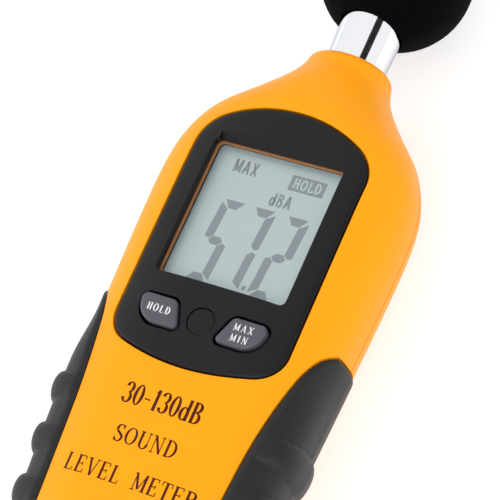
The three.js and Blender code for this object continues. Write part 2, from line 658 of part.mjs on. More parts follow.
// Parts on the board's back, centred at x, y.
const CHIP_TOP_Z = BOARD_BOTTOM_Z - NEAR_GAP;
const chip = (width, length, height, x, y) =>
  block(
    [x - width / 2, y - length / 2, CHIP_TOP_Z - height],
    [x + width / 2, y + length / 2, CHIP_TOP_Z],
  );
const canOnBoard = (radius, height, x, y) => rod(radius, CHIP_TOP_Z - height, CHIP_TOP_Z, x, y, 14);
const trimmer = (x, y) =>
  chip(6, 6, 2.6, x, y)
    .add(canOnBoard(1.8, 3.2, x, y))
    .subtract(block([x - 1.4, y - 0.25, CHIP_TOP_Z - 4], [x + 1.4, y + 0.25, CHIP_TOP_Z - 2.8]));

// ---------------------------------------------------------------- microphone
const TUBE_BOTTOM_Y = CASE_TOP_Y - TUBE_IN_CASE;
const FOAM_BASE_Y = CASE_TOP_Y + TUBE_SHOWN;
const TUBE_TOP_Y = FOAM_BASE_Y + TUBE_IN_FOAM;
const TUBE_INNER = TUBE_RADIUS - TUBE_WALL;
const TUBE_END_RADIUS = TUBE_RADIUS + TUBE_FLARE;
const FOAM_BORE = TUBE_END_RADIUS + FIT_GAP;
const GRILLE_TOP_Y = TUBE_TOP_Y - GRILLE_DEPTH;
const CAPSULE_TOP_Y = GRILLE_TOP_Y - GRILLE_THICKNESS - CAPSULE_DEPTH;
const CAPSULE_BOTTOM_Y = CAPSULE_TOP_Y - CAPSULE.length;

function micSleeve() {
  const ROUND = 0.35;
  return alongMic(
    [
      [TUBE_INNER, TUBE_BOTTOM_Y],
      [TUBE_RADIUS, TUBE_BOTTOM_Y],
      [TUBE_RADIUS, CASE_TOP_Y],
      [TUBE_END_RADIUS, FOAM_BASE_Y],
      [TUBE_END_RADIUS, TUBE_TOP_Y - ROUND],
      [TUBE_END_RADIUS - ROUND, TUBE_TOP_Y],
      [TUBE_INNER, TUBE_TOP_Y],
      [TUBE_INNER, TUBE_BOTTOM_Y],
    ],
    28,
  );
}

function micGrille() {
  let plate = alongMic(disc(TUBE_INNER - NEAR_GAP, GRILLE_TOP_Y - GRILLE_THICKNESS, GRILLE_TOP_Y), 18);
  const rings = [
    [0, 1],
    [3.6, 6],
  ];
  for (const [ring, count] of rings)
    for (let i = 0; i < count; i++) {
      const angle = (2 * Math.PI * i) / count;
      const [x, z] = [ring * Math.cos(angle), MIC_AXIS_Z + ring * Math.sin(angle)];
      plate = plate.subtract(turnedAlongY(disc(GRILLE_HOLE_RADIUS, 0, FAR), x, z, 6));
    }
  return plate;
}

const micCapsule = () => alongMic(disc(CAPSULE.radius, CAPSULE_BOTTOM_Y, CAPSULE_TOP_Y), 18);

// Sleeve that holds the capsule in the tube.
function capsuleHolder() {
  const [inner, outer] = [CAPSULE.radius + NEAR_GAP, TUBE_INNER - NEAR_GAP];
  const [low, high] = [CAPSULE_BOTTOM_Y - 1.5, CAPSULE_TOP_Y - 1.5];
  return alongMic([[inner, low], [outer, low], [outer, high], [inner, high], [inner, low]], 18);
}

// Plug that fixes the tube in the neck, with a hole for the microphone's lead.
function tubePlug() {
  const step = TUBE_BOTTOM_Y - NEAR_GAP;
  const high = TUBE_BOTTOM_Y + PLUG_LENGTH;
  return alongMic(
    [
      [PLUG_HOLE_RADIUS, step - 1.4],
      [TUBE_RADIUS, step - 1.4],
      [TUBE_RADIUS, step],
      [TUBE_INNER - NEAR_GAP, step],
      [TUBE_INNER - NEAR_GAP, high],
      [PLUG_HOLE_RADIUS, high],
      [PLUG_HOLE_RADIUS, step - 1.4],
    ],
    20,
  );
}

const micLead = () =>
  wire(
    [
      [0, CAPSULE_BOTTOM_Y - 0.4, MIC_AXIS_Z],
      [0, TUBE_BOTTOM_Y + 20, MIC_AXIS_Z],
      [0, TUBE_BOTTOM_Y, MIC_AXIS_Z],
      [0, TUBE_BOTTOM_Y - 5, MIC_AXIS_Z],
      [2, TUBE_BOTTOM_Y - 12, MIC_AXIS_Z + 0.5],
      [3, TUBE_BOTTOM_Y - 19, CHIP_TOP_Z - 2],
      [3, TUBE_BOTTOM_Y - 22, CHIP_TOP_Z - 0.7],
    ],
    LEAD_RADIUS,
    24,
  );

const FOAM_CENTRE_Y = FOAM_BASE_Y + Math.sqrt(FOAM_RADIUS ** 2 - FOAM_BORE ** 2);
function windscreen() {
  const boreEnd = TUBE_TOP_Y + FOAM_BORE_END;
  const first = Math.asin(FOAM_BORE / FOAM_RADIUS);
  const STEPS = 12;
  const profile = [[0, boreEnd], [FOAM_BORE, boreEnd]];
  for (let i = 0; i < STEPS; i++) {
    const angle = first + ((Math.PI - first) * i) / STEPS;
    profile.push([FOAM_RADIUS * Math.sin(angle), FOAM_CENTRE_Y - FOAM_RADIUS * Math.cos(angle)]);
  }
  profile.push([0, FOAM_CENTRE_Y + FOAM_RADIUS]);
  return alongMic(profile, 24);
}

// ---------------------------------------------------------------- batteries
const BAY_BOTTOM_Y = CASE_BOTTOM_Y + 14; // lower end of the door's opening
const TRAY = {
  halfWidth: CELL_PITCH + CELL.radius + FIT_GAP + TRAY_WALL,
  bottom: BAY_BOTTOM_Y + HINGE_SPACE,
  top: BAY_BOTTOM_Y + HINGE_SPACE + 2 * (TRAY_WALL + CONTACT_SPACE) + CELL.length,
  ceiling: CELL_Z + CELL.radius + 0.4,
};
const BAY_TOP_Y = TRAY.top + TRAY_GAP;
const CELL_BOTTOM_Y = TRAY.bottom + TRAY_WALL + CONTACT_SPACE;
const CELL_TOP_Y = CELL_BOTTOM_Y + CELL.length;
function bayOutline(grow) {
  const half = TRAY.halfWidth + TRAY_GAP + grow;
  return roundedRectangle(-half, half, BAY_BOTTOM_Y - grow, BAY_TOP_Y + grow, DOOR_CORNER);
}

const cellX = (i) => (i - 1) * CELL_PITCH;
const pointsUp = (i) => i % 2 === 0; // neighbours lie head to tail

function cell(i) {
  const { radius, length, nubRadius, nubLength } = CELL;
  const body = turnedAlongY(
    [
      [0, 0],
      [radius, 0],
      [radius, length],
      [nubRadius, length],
      [nubRadius, length + nubLength],
      [0, length + nubLength],
    ],
    0,
    0,
    16,
  );
  return pointsUp(i)
    ? body.translate([cellX(i), CELL_BOTTOM_Y, CELL_Z])
    : body.rotate([180, 0, 0]).translate([cellX(i), CELL_TOP_Y, CELL_Z]);
}

// Coil spring on the flat end of a cell, widest at the contact plate.
function cellSpring(i) {
  const { turns, wire: thick, wide, narrow } = SPRING;
  const outwards = pointsUp(i) ? -1 : 1;
  const cellEnd = pointsUp(i) ? CELL_BOTTOM_Y : CELL_TOP_Y;
  const STEPS = 9 * turns;
  const points = [];
  for (let k = 0; k <= STEPS; k++) {
    const share = k / STEPS;
    const angle = 2 * Math.PI * turns * share;
    const radius = narrow + (wide - narrow) * share;
    const away = thick + NEAR_GAP + (CONTACT_SPACE - CONTACT.thickness - 2 * thick - 0.4) * share;
    points.push([
      cellX(i) + radius * Math.cos(angle),
      cellEnd + outwards * away,
      CELL_Z + radius * Math.sin(angle),
    ]);
  }
  return wire(points, thick, STEPS, 4);
}

// Contact plate at the upper (+1) or lower (-1) end, across the cells from first to last.
function contactPlate(end, first, last) {
  const wall = end > 0 ? CELL_TOP_Y + CONTACT_SPACE : CELL_BOTTOM_Y - CONTACT_SPACE;
  const ys = [wall - end * NEAR_GAP, wall - end * (NEAR_GAP + CONTACT.thickness)].sort((a, b) => a - b);
  return block(
    [cellX(first) - CONTACT.half, ys[0], CELL_Z - CONTACT.half],
    [cellX(last) + CONTACT.half, ys[1], CELL_Z + CONTACT.half],
  );
}

const doorYs = caseYsBetween(BAY_BOTTOM_Y - 4, BAY_TOP_Y + 4);
const DOOR_INNER = DOOR_SUNK + DOOR_THICKNESS;

function batteryTray() {
  const { halfWidth, bottom, top, ceiling } = TRAY;
  const outline = roundedRectangle(-halfWidth, halfWidth, bottom, top, DOOR_CORNER);
  const outer = prism(outline, 0, ceiling + TRAY_WALL);
  const inner = block(
    [-halfWidth + TRAY_WALL, bottom + TRAY_WALL, -1],
    [halfWidth - TRAY_WALL, top - TRAY_WALL, ceiling],
  );
  return outer.subtract(inner).intersect(caseSolid(-DOOR_INNER - FIT_GAP, doorYs));
}

// The door swings about an axis in the middle of its thickness, at its lower edge.
const HINGE_RADIUS = DOOR_THICKNESS / 2;
const HINGE_Y = BAY_BOTTOM_Y + FIT_GAP + HINGE_RADIUS;
const HINGE_Z = DOOR_SUNK + HINGE_RADIUS;
const HINGE_END = HINGE.halfLength + HINGE.lugLength + 2 * FIT_GAP;
const alongHinge = (radius, low, high) =>
  rod(radius, low, high, 0, 0, 16).rotate([0, 90, 0]).translate([0, HINGE_Y, HINGE_Z]);

// Two lugs of the rear shell that carry the door's pins.
function hingeLugs() {
  const start = HINGE.halfLength + FIT_GAP;
  const end = start + HINGE.lugLength;
  const lugs = [[-end, -start], [start, end]].map(([low, high]) =>
    block([low, BAY_BOTTOM_Y - 1, DOOR_SUNK], [high, HINGE_Y, DOOR_INNER])
      .add(alongHinge(HINGE_RADIUS, low, high)),
  );
  return join(lugs).subtract(alongHinge(HINGE.pinRadius + HINGE.bearingGap, -end - 1, end + 1));
}

function batteryDoor() {
  const skin = caseSolid(-DOOR_SUNK, doorYs).subtract(caseSolid(-DOOR_INNER, doorYs));
  let door = skin.intersect(prism(bayOutline(-FIT_GAP), -1, GRIP_BACK_Z));
  for (let i = 0; i < THUMB_RIBS.count; i++) {
    const y = BAY_TOP_Y - THUMB_RIBS.inset - THUMB_RIBS.pitch * i;
    const { halfLength, width, depth } = THUMB_RIBS;
    door = door.subtract(
      block([-halfLength, y - width / 2, -1], [halfLength, y + width / 2, DOOR_SUNK + depth]),
    );
  }
  // round lower edge with its pins, cut back beside the shell's lugs
  const { halfLength, pinRadius, edgeCut } = HINGE;
  const lowerEdge = BAY_BOTTOM_Y + FIT_GAP + edgeCut;
  const notchEnd = HINGE_Y + HINGE_RADIUS + FIT_GAP;
  door = door
    .subtract(block([-FAR, BAY_BOTTOM_Y, 0], [FAR, lowerEdge, HINGE_Z]))
    .subtract(block([-HINGE_END, BAY_BOTTOM_Y, 0], [HINGE_END, HINGE_Y, DOOR_INNER + NEAR_GAP]));
  for (const [low, high] of [[-HINGE_END, -halfLength], [halfLength, HINGE_END]])
    door = door.subtract(block([low, BAY_BOTTOM_Y, 0], [high, notchEnd, DOOR_INNER + NEAR_GAP]));
  return door
    .add(alongHinge(HINGE_RADIUS, -halfLength, halfLength))
    .add(alongHinge(pinRadius, -HINGE_END - 1, HINGE_END + 1));
}

function doorPad() {
  const middle = (CELL_BOTTOM_Y + CELL_TOP_Y) / 2;
  const low = DOOR_INNER + SEAT_GAP;
  return block(
    [-PAD.halfWidth, middle - PAD.length / 2, low],
    [PAD.halfWidth, middle + PAD.length / 2, low + PAD.thickness],
  ).intersect(caseSolid(-DOOR_INNER - SEAT_GAP, doorYs));
}

const batteryLead = (x, endX) =>
  wire(
    [
      [x, TRAY.top + LEAD_RADIUS + LOOSE_GAP, CELL_Z + 1],
      [x, TRAY.top + 2.5, CELL_Z + 1.5],
      [x, TRAY.top + 5, CELL_Z + 5],
      [endX, TRAY.top + 7, CHIP_TOP_Z - 2.2],
      [endX, TRAY.top + 8, CHIP_TOP_Z - 0.7],
    ],
    LEAD_RADIUS,
    10,
  );

// ---------------------------------------------------------------- screws
function caseScrew([x, y]) {
  const { headRadius, headHeight, shankRadius, slot, slotLength } = SCREW;
  const low = SCREW_SEAT_Z - NEAR_GAP - headHeight;
  const cross = (w, l) =>
    block([x - w / 2, y - l / 2, low - 1], [x + w / 2, y + l / 2, low + 0.8]);
  return rod(headRadius, low, low + headHeight, x, y, 14)
    .add(rod(shankRadius, low + 1, SCREW_TIP_Z, x, y, 8))
    .subtract(cross(slotLength, slot))
    .subtract(cross(slot, slotLength));
}

// ---------------------------------------------------------------- assembly
const assembly = new THREE.Group();
function part(name, shape, material) {
  const mesh = new THREE.Mesh(geometryOf(shape), material);
  mesh.name = name;
  assembly.add(mesh);
}

part("front_housing", frontHousing(), ORANGE_ABS());
part("rear_housing", rearHousing(), ORANGE_ABS());
part("grip_right", gripShape(1), DARK_RUBBER());
part("grip_left", gripShape(-1), DARK_RUBBER());
part("bezel_panel", bezelPanel(), BLACK_ABS());
part("window_gasket", windowGasket(), TAN_GASKET());
part("display_window", displayWindow(), CLEAR_ACRYLIC());
part("lcd_panel", lcdPanel(), LCD_GLASS());
part("lcd_backlight", backlight(), WHITE_ACRYLIC());
part("display_frame", displayFrame(), BLACK_ABS());
part("zebra_strip", zebraStrip(), CARBON_RUBBER());

part("key_hold", keyCap(-1), KEY_RUBBER());
part("key_max_min", keyCap(1), KEY_RUBBER());
part("key_power", powerKey(), BLACK_ABS());
part("switch_hold", tactSwitch(-KEY_CENTRE.x, KEY_CENTRE.y), CHIP_EPOXY());
part("switch_max_min", tactSwitch(KEY_CENTRE.x, KEY_CENTRE.y), CHIP_EPOXY());
part("switch_power", tactSwitch(0, POWER_KEY.y), CHIP_EPOXY());

part("main_board", mainBoard(), BOARD_GREEN());
part("controller_chip", chip(14, 14, 1.6, -6, -8), CHIP_EPOXY());
part("amplifier_chip", chip(5, 8.6, 1.5, 9, 8), CHIP_EPOXY());
part("timing_crystal", chip(4.8, 11, 3.4, 9, -10), STEEL());
part("filter_capacitor", canOnBoard(2.6, 5.4, 0, -22), CHIP_EPOXY());
part("calibration_trimmer", trimmer(-13, 8), RED_PVC());
boardScrewPlaces.forEach((at, i) => part(`board_screw_${i + 1}`, boardScrew(at), STEEL()));

part("mic_sleeve", micSleeve(), CHROME());
part("mic_grille", micGrille(), CHROME());
part("mic_capsule", micCapsule(), NICKEL());
part("capsule_holder", capsuleHolder(), DARK_RUBBER());
part("tube_plug", tubePlug(), BLACK_ABS());
part("mic_lead", micLead(), BLACK_PVC());
part("windscreen", windscreen(), FOAM());

part("battery_tray", batteryTray(), BLACK_ABS());
for (let i = 0; i < 3; i++) {
  part(`battery_${i + 1}`, cell(i), CELL_JACKET());
  part(`battery_spring_${i + 1}`, cellSpring(i), NICKEL());
}
part("contact_top_single", contactPlate(1, 0, 0), NICKEL());
part("contact_top_link", contactPlate(1, 1, 2), NICKEL());
part("contact_bottom_link", contactPlate(-1, 0, 1), NICKEL());
part("contact_bottom_single", contactPlate(-1, 2, 2), NICKEL());
part("battery_lead_red", batteryLead(-11, -10), RED_PVC());
part("battery_lead_black", batteryLead(11, 10), BLACK_PVC());
part("battery_door", batteryDoor(), ORANGE_ABS());
part("door_pad", doorPad(), FOAM());
CASE_SCREWS.forEach((at, i) => part(`case_screw_${i + 1}`, caseScrew(at), STEEL()));

// The origin goes under the middle of the meter's whole length.
assembly.position.y = -(CASE_BOTTOM_Y + FOAM_CENTRE_Y + FOAM_RADIUS) / 2;
const meter = new THREE.Group();
meter.add(assembly);

export default meter;
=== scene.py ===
import json
import bpy
import numpy as np
from mathutils import Matrix, Vector


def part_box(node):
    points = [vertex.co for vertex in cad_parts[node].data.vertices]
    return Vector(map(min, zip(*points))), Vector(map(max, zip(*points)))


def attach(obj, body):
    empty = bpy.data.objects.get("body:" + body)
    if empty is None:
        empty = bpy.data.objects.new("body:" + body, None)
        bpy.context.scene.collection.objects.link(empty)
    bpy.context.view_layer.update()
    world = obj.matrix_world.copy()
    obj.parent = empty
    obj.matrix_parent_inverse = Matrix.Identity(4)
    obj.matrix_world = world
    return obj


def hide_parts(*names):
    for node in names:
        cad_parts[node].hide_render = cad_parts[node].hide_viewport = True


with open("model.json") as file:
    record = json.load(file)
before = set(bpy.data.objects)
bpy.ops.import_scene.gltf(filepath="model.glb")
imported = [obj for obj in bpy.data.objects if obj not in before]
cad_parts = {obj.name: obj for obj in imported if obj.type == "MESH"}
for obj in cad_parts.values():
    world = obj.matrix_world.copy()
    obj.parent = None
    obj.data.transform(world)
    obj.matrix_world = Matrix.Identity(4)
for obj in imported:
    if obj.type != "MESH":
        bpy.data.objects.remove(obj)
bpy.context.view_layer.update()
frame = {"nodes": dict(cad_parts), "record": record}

# ---------------------------------------------------------------- case surface and orange shells
# The case is two mouldings of orange ABS, spark-finished in the tool, that meet in a shadow line
# and are screwed together from the back. Its sections are superellipses that turn into the round
# collar of the microphone tube. All sizes here are millimetres, measured from the window's centre.
CASE_BOTTOM, CASE_TOP = -108.0, 44.7
CASE_HALF_WIDTH = 28.3
PARTING = 18.2
PARTING_GAP = 0.3
FRONT_HEIGHT, BACK_DEPTH = 15.8, 22.0
WALL = 2.2
END_FILLET, COLLAR_FILLET = 9.0, 2.0
FIT_GAP = 0.3
MIC_AXIS = 17.2
TUBE_RADIUS = 6.5
COLLAR_RADIUS = TUBE_RADIUS + 3.0
NECK_START, NECK_END, NECK_FLOOR = CASE_TOP - 25, CASE_TOP - 5, CASE_TOP - 9
FLAT_EDGE = 0.7  # how softly the flat of the back runs into the sides
STATIONS = np.array([  # y, then width, front and back between collar (0) and widest section (1)
    [CASE_BOTTOM, 0.58, 0.72, 0.86],
    [CASE_BOTTOM * 0.88, 0.72, 0.88, 1],
    [CASE_BOTTOM * 0.67, 0.76, 0.94, 1],
    [CASE_BOTTOM * 0.43, 0.88, 1, 1],
    [CASE_BOTTOM * 0.21, 0.95, 1, 1],
    [0, 1, 1, 1],
    [CASE_TOP - 33, 0.99, 1, 1],
    [CASE_TOP - 26, 0.91, 0.97, 0.95],
    [CASE_TOP - 19, 0.71, 0.88, 0.77],
    [CASE_TOP - 12.5, 0.38, 0.63, 0.4],
    [CASE_TOP - 7, 0.13, 0.32, 0.11],
    [CASE_TOP - 3, 0.02, 0.05, 0.01],
    [CASE_TOP, 0, 0, 0],
])
FAR = 80.0  # beyond every surface of the case
INSIDE = 20.0  # a height inside the case, from which tools cut up through the front
# How far the window's centre lies from the frame's origin along the meter.
ROW_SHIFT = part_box("front_housing")[0].y * 1000 - CASE_BOTTOM


def through(table, y, column):
    """A table's column at y: a cubic between neighbouring rows, whose slope at each row is that
    of the straight line between the rows on either side of it."""
    ys, values = table[:, 0], table[:, column]
    slope = np.gradient(values)
    slope[1:-1] = (values[2:] - values[:-2]) / (ys[2:] - ys[:-2])
    slope[0] = (values[1] - values[0]) / (ys[1] - ys[0])
    slope[-1] = (values[-1] - values[-2]) / (ys[-1] - ys[-2])
    at = np.clip(y, ys[0], ys[-1])
    i = np.clip(np.searchsorted(ys, at, side="right") - 1, 0, len(ys) - 2)
    span = ys[i + 1] - ys[i]
    t = (at - ys[i]) / span
    return (
        values[i] * (2 * t**3 - 3 * t**2 + 1)
        + slope[i] * span * (t**3 - 2 * t**2 + t)
        + values[i + 1] * (3 * t**2 - 2 * t**3)
        + slope[i + 1] * span * (t**3 - t**2)
    )


def smooth_step(t):
    """0 below 0, 1 above 1, and 3t^2 - 2t^3 between."""
    t = np.clip(t, 0, 1)
    return t * t * (3 - 2 * t)


def fillet_inset(radius, distance):
    """How far a quarter round has drawn the surface in, at a distance from the end it rounds."""
    d = np.clip(distance, 0, radius)
    return radius - np.sqrt(np.maximum(radius**2 - (radius - d) ** 2, 0))


def section(y):
    """Half width, front height, back depth and the two exponents of the case's section at y."""
    neck = smooth_step((y - NECK_START) / (NECK_END - NECK_START))
    inset = fillet_inset(END_FILLET, y - CASE_BOTTOM) + fillet_inset(COLLAR_FILLET, CASE_TOP - y)

    def mix(a, b, share):
        return a + (b - a) * share

    half = mix(COLLAR_RADIUS, CASE_HALF_WIDTH, through(STATIONS, y, 1)) - inset
    front = mix(COLLAR_RADIUS + MIC_AXIS - PARTING, FRONT_HEIGHT, through(STATIONS, y, 2)) - inset
    back = mix(COLLAR_RADIUS - MIC_AXIS + PARTING, BACK_DEPTH, through(STATIONS, y, 3)) - inset
    return half, front, back, mix(3.0, 2.0, neck), mix(1.8, 2.0, neck)


def case_surface(y, angle, offset=0.0):
    """Case's surface moved out by offset: x is half width times cos to the power 2/p, z is the
    reach times sin to the power 2/p over the parting plane; the back is cut softly by the flat."""
    half, front, back, front_power, back_power = section(np.clip(y, CASE_BOTTOM, CASE_TOP))
    sine, cosine = np.sin(angle), np.cos(angle)
    power = np.where(sine >= 0, front_power, back_power)
    reach = np.where(sine >= 0, front, back) + offset
    x = (half + offset) * np.sign(cosine) * np.abs(cosine) ** (2 / power)
    above = PARTING + reach * np.sign(sine) * np.abs(sine) ** (2 / power) + offset
    z = (above + np.sqrt(above**2 + FLAT_EDGE**2)) / 2 - offset
    return np.stack([x, y + 0 * x, z], -1)


def front_z(x, y):
    """Height of the case's front over a point x, y."""
    half, front, _, power, _ = section(y)
    share = np.minimum(1, np.abs(x) / half)
    return PARTING + front * (1 - share**power) ** (1 / power)


def even_angles(count):
    """Angles whose points lie evenly along the widest section."""
    fine = np.linspace(0, 2 * np.pi, 40001)
    line = case_surface(np.zeros_like(fine), fine)
    length = np.concatenate([[0], np.cumsum(np.linalg.norm(np.diff(line, axis=0), axis=1))])
    return np.interp(np.linspace(0, length[-1], count, endpoint=False), length, fine)


def case_rows(low, high, step):
    """y of the case's rings from low to high: even, and crowded towards each rounded end."""
    quarter = np.linspace(0, np.pi / 2, 12)
    end = CASE_BOTTOM + END_FILLET * (1 - np.cos(quarter))
    rim = CASE_TOP - COLLAR_FILLET * (1 - np.cos(quarter))
    body = np.arange(CASE_BOTTOM + END_FILLET + step, CASE_TOP - COLLAR_FILLET - 0.2, step)
    rows = np.unique(np.concatenate([end, rim, body]))
    return np.concatenate([[low], rows[(rows > low + 0.02) & (rows < high - 0.02)], [high]])


def solid(name, rings, loop=False):
    """Closed mesh from rings of points, [rings, points, 3] in millimetres: neighbouring rings are
    joined by quads, and the first and last are filled, or joined to each other when loop is set."""
    rings = np.asarray(rings, float)
    rows, columns = rings.shape[:2]
    points = (rings.reshape(-1, 3) + [0, ROW_SHIFT, 0]) / 1000
    i, j = np.meshgrid(np.arange(rows if loop else rows - 1), np.arange(columns), indexing="ij")
    i, j = i.ravel(), j.ravel()
    below, above, right = i * columns, (i + 1) % rows * columns, (j + 1) % columns
    quads = np.stack([below + j, above + j, above + right, below + right], -1)
    corners = points[quads]
    middle = points.mean(0)
    edge_a, edge_b = corners[:, 2] - corners[:, 0], corners[:, 3] - corners[:, 1]
    volume = np.einsum("ij,ij->", np.cross(edge_a, edge_b), corners.mean(1) - middle)
    faces = quads.tolist()
    if not loop:
        faces += [list(range(columns)), [(rows - 1) * columns + k for k in range(columns)][::-1]]
    if volume < 0:
        faces = [face[::-1] for face in faces]
    mesh = bpy.data.meshes.new(name)
    mesh.from_pydata(points.tolist(), [], faces)
    mesh.validate()
    piece = bpy.data.objects.new(name, mesh)
    bpy.context.scene.collection.objects.link(piece)
    return piece


def case_solid(name, offset, low, high, step=1.0, count=360):
    """Solid inside the case's surface moved out by offset, between two y."""
    y, angle = case_rows(low, high, step)[:, None], even_angles(count)[None, :]
    return solid(name, case_surface(y, angle, offset))


def at_height(outline, z):
    """A plan outline of x, y points as a ring of points at height z."""
    return np.concatenate([outline, np.broadcast_to(np.reshape(z, (-1, 1)), (len(outline), 1))], 1)


def prism(name, outline, low, high):
    """A plan outline carried straight up from low to high."""
    return solid(name, [at_height(outline, low), at_height(outline, high)])


def arc(x, y, radius, start, end, count=24):
    """Points along a circle's arc."""
    turn = np.linspace(start, end, count)
    return np.stack([x + radius * np.cos(turn), y + radius * np.sin(turn)], -1)


def rectangle(left, right, bottom, top, corner=0.01):
    """Rectangle outline with round corners."""
    quarter = np.pi / 2
    return np.concatenate([
        arc(right - corner, bottom + corner, corner, -quarter, 0, 8),
        arc(right - corner, top - corner, corner, 0, quarter, 8),
        arc(left + corner, top - corner, corner, quarter, 2 * quarter, 8),
        arc(left + corner, bottom + corner, corner, 2 * quarter, 3 * quarter, 8),
    ])


def evenly(outline, count):
    """The same closed outline with count points, evenly spaced along it."""
    closed = np.concatenate([outline, outline[:1]])
    length = np.concatenate([[0], np.cumsum(np.linalg.norm(np.diff(closed, axis=0), axis=1))])
    at = np.linspace(0, length[-1], count, endpoint=False)
    return np.stack([np.interp(at, length, closed[:, k]) for k in (0, 1)], -1)


def carve(piece, tool, how="DIFFERENCE"):
    """Cuts the tool from the piece, joins it, or keeps what both share; the tool is used up."""
    step = piece.modifiers.new("carve", "BOOLEAN")
    step.object, step.operation, step.solver = tool, how, "MANIFOLD"
    carved = piece.evaluated_get(bpy.context.evaluated_depsgraph_get())
    mesh = bpy.data.meshes.new_from_object(carved)
    piece.modifiers.clear()
    old, piece.data = piece.data, mesh
    bpy.data.meshes.remove(old)
    bpy.data.meshes.remove(tool.data)
    return piece


def block(name, low, high):
    """Plain box used as a cutting tool."""
    return prism(name, rectangle(low[0], high[0], low[1], high[1]), low[2], high[2])


def linear(hex_colour):
    """sRGB hex colour as the linear numbers that a shader takes."""
    srgb = np.array([int(hex_colour[k:k + 2], 16) for k in (1, 3, 5)]) / 255
    rgb = np.where(srgb <= 0.04045, srgb / 12.92, ((srgb + 0.055) / 1.055) ** 2.4)
    return (*rgb.tolist(), 1.0)


def add(material, kind, inputs=(), **settings):
    """Adds a shader node, sets its settings, and fills its inputs with values or other outputs."""
    tree = material.node_tree
    made = tree.nodes.new(kind)
    for key, value in settings.items():
        setattr(made, key, value)
    for socket, value in dict(inputs).items():
        if isinstance(value, bpy.types.NodeSocket):
            tree.links.new(value, made.inputs[socket])
        else:
            made.inputs[socket].default_value = value
    return made


MILLIMETRE = 0.001


def surface(name, colour, roughness, grain, depth, tone=0.05, uneven=0.06, **sockets):
    """Material with a Principled shader: its colour drifts by tone over about 12 mm, its
    roughness by uneven over 3 mm, and a grain of the given millimetres stands depth high."""
    material = bpy.data.materials.new(name)
    material.use_nodes = True
    material.node_tree.nodes.clear()
    place = add(material, "ShaderNodeTexCoord").outputs["Object"]
    drift = add(material, "ShaderNodeTexNoise", {"Vector": place, "Scale": 1 / (12 * MILLIMETRE)})
    base = linear(colour)
    low, high = [tuple(c * k for c in base[:3]) + (1.0,) for k in (1 - tone, 1 + tone)]
    mix = add(material, "ShaderNodeMix", {
        "Factor": drift.outputs["Fac"], 6: low, 7: high}, data_type="RGBA")
    patch = add(material, "ShaderNodeTexNoise", {"Vector": place, "Scale": 1 / (3 * MILLIMETRE)})
    rough = add(material, "ShaderNodeMapRange", {
        "Value": patch.outputs["Fac"], "To Min": max(roughness - uneven, 0.02),
        "To Max": roughness + uneven})
    fine = add(material, "ShaderNodeTexNoise", {
        "Vector": place, "Scale": 1 / (grain * MILLIMETRE), "Detail": 3.0})
    bump = add(material, "ShaderNodeBump", {
        "Height": fine.outputs["Fac"], "Strength": 1.0, "Distance": depth * MILLIMETRE})
    shader = add(material, "ShaderNodeBsdfPrincipled", {
        "Base Color": mix.outputs[2], "Roughness": rough.outputs["Result"],
        "Normal": bump.outputs["Normal"], **sockets})
    add(material, "ShaderNodeOutputMaterial", {"Surface": shader.outputs["BSDF"]})
    return material


def settle(piece, material, body, nodes=(), sharp=35):
    """Gives a finished piece its material, smooth shading up to the sharp angle, and its place."""
    mesh = piece.data
    mesh.materials.clear()
    mesh.materials.append(material)
    mesh.polygons.foreach_set("material_index", np.zeros(len(mesh.polygons), np.int32))
    mesh.polygons.foreach_set("use_smooth", np.ones(len(mesh.polygons), bool))
    mesh.set_sharp_from_angle(angle=np.radians(sharp))
    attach(piece, body)
    if nodes:
        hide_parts(*nodes)
    return piece


# Moulded ABS, spark-finished: an even satin orange, whose 0.35 mm texture breaks up reflections.
orange_abs = surface("moulded_orange_abs", "#FFA100", 0.42, 0.35, 0.010, tone=0.03,
                     **{"Specular IOR Level": 0.2})

BEZEL_HALF, BEZEL_TOP, BEZEL_BOTTOM = 19.6, 25.0, -34.4
BEZEL_BACK = 30.8
RECESS_FLOOR = BEZEL_BACK - 0.1
CEILING = RECESS_FLOOR - 1.4
RECESS_RIM = 0.35
UNDER_BEZEL = 3.0  # how far the thick floor under the bezel reaches past its outline


def bezel_outline(grow):
    """Two straight sides, a wide arc at each end, and a corner arc tangent to both between them."""
    half = BEZEL_HALF + grow
    ends = []
    for reach, radius, corner in ((BEZEL_TOP, 32, 8), (-BEZEL_BOTTOM, 47, 7)):
        wide, small, centre = radius + grow, corner + grow, reach - radius
        corner_x = half - small
        corner_y = centre + np.sqrt((wide - small) ** 2 - corner_x**2)
        lean = np.arcsin(corner_x / (wide - small))
        right = arc(corner_x, corner_y, small, 0, np.pi / 2 - lean, 24)
        across = arc(0, centre, wide, np.pi / 2 - lean, np.pi / 2 + lean, 60)[1:-1]
        left = arc(-corner_x, corner_y, small, np.pi / 2 + lean, np.pi, 24)
        ends.append(np.concatenate([right, across, left]))
    top, low = ends
    return np.concatenate([top, low[::-1] * [1, -1]])


WINDOW = dict(left=-14.8, right=14.8, bottom=-16.1, top=15.6)
WINDOW_CORNER = 1.2


def window_outline(grow, corner=WINDOW_CORNER):
    """The bezel's opening, moved out by grow."""
    return rectangle(WINDOW["left"] - grow, WINDOW["right"] + grow,
                     WINDOW["bottom"] - grow, WINDOW["top"] + grow, corner)


def mouth(name, outline, low, edge):
    """Cutting tool for an opening in the front: its outline(grow) goes straight up from low and
    flares by edge just under the surface, which leaves a rounded rim."""
    steps = [(0, -1.0), (0.08, -0.4), (0.3, -0.1), (1.0, 0.3), (1.3, 3.0)]
    rings = [at_height(outline(0), low)]
    for share, rise in steps:
        line = outline(share * edge)
        rings.append(at_height(line, front_z(line[:, 0], line[:, 1]) + rise * edge))
    return solid(name, rings + [at_height(line, FAR)])


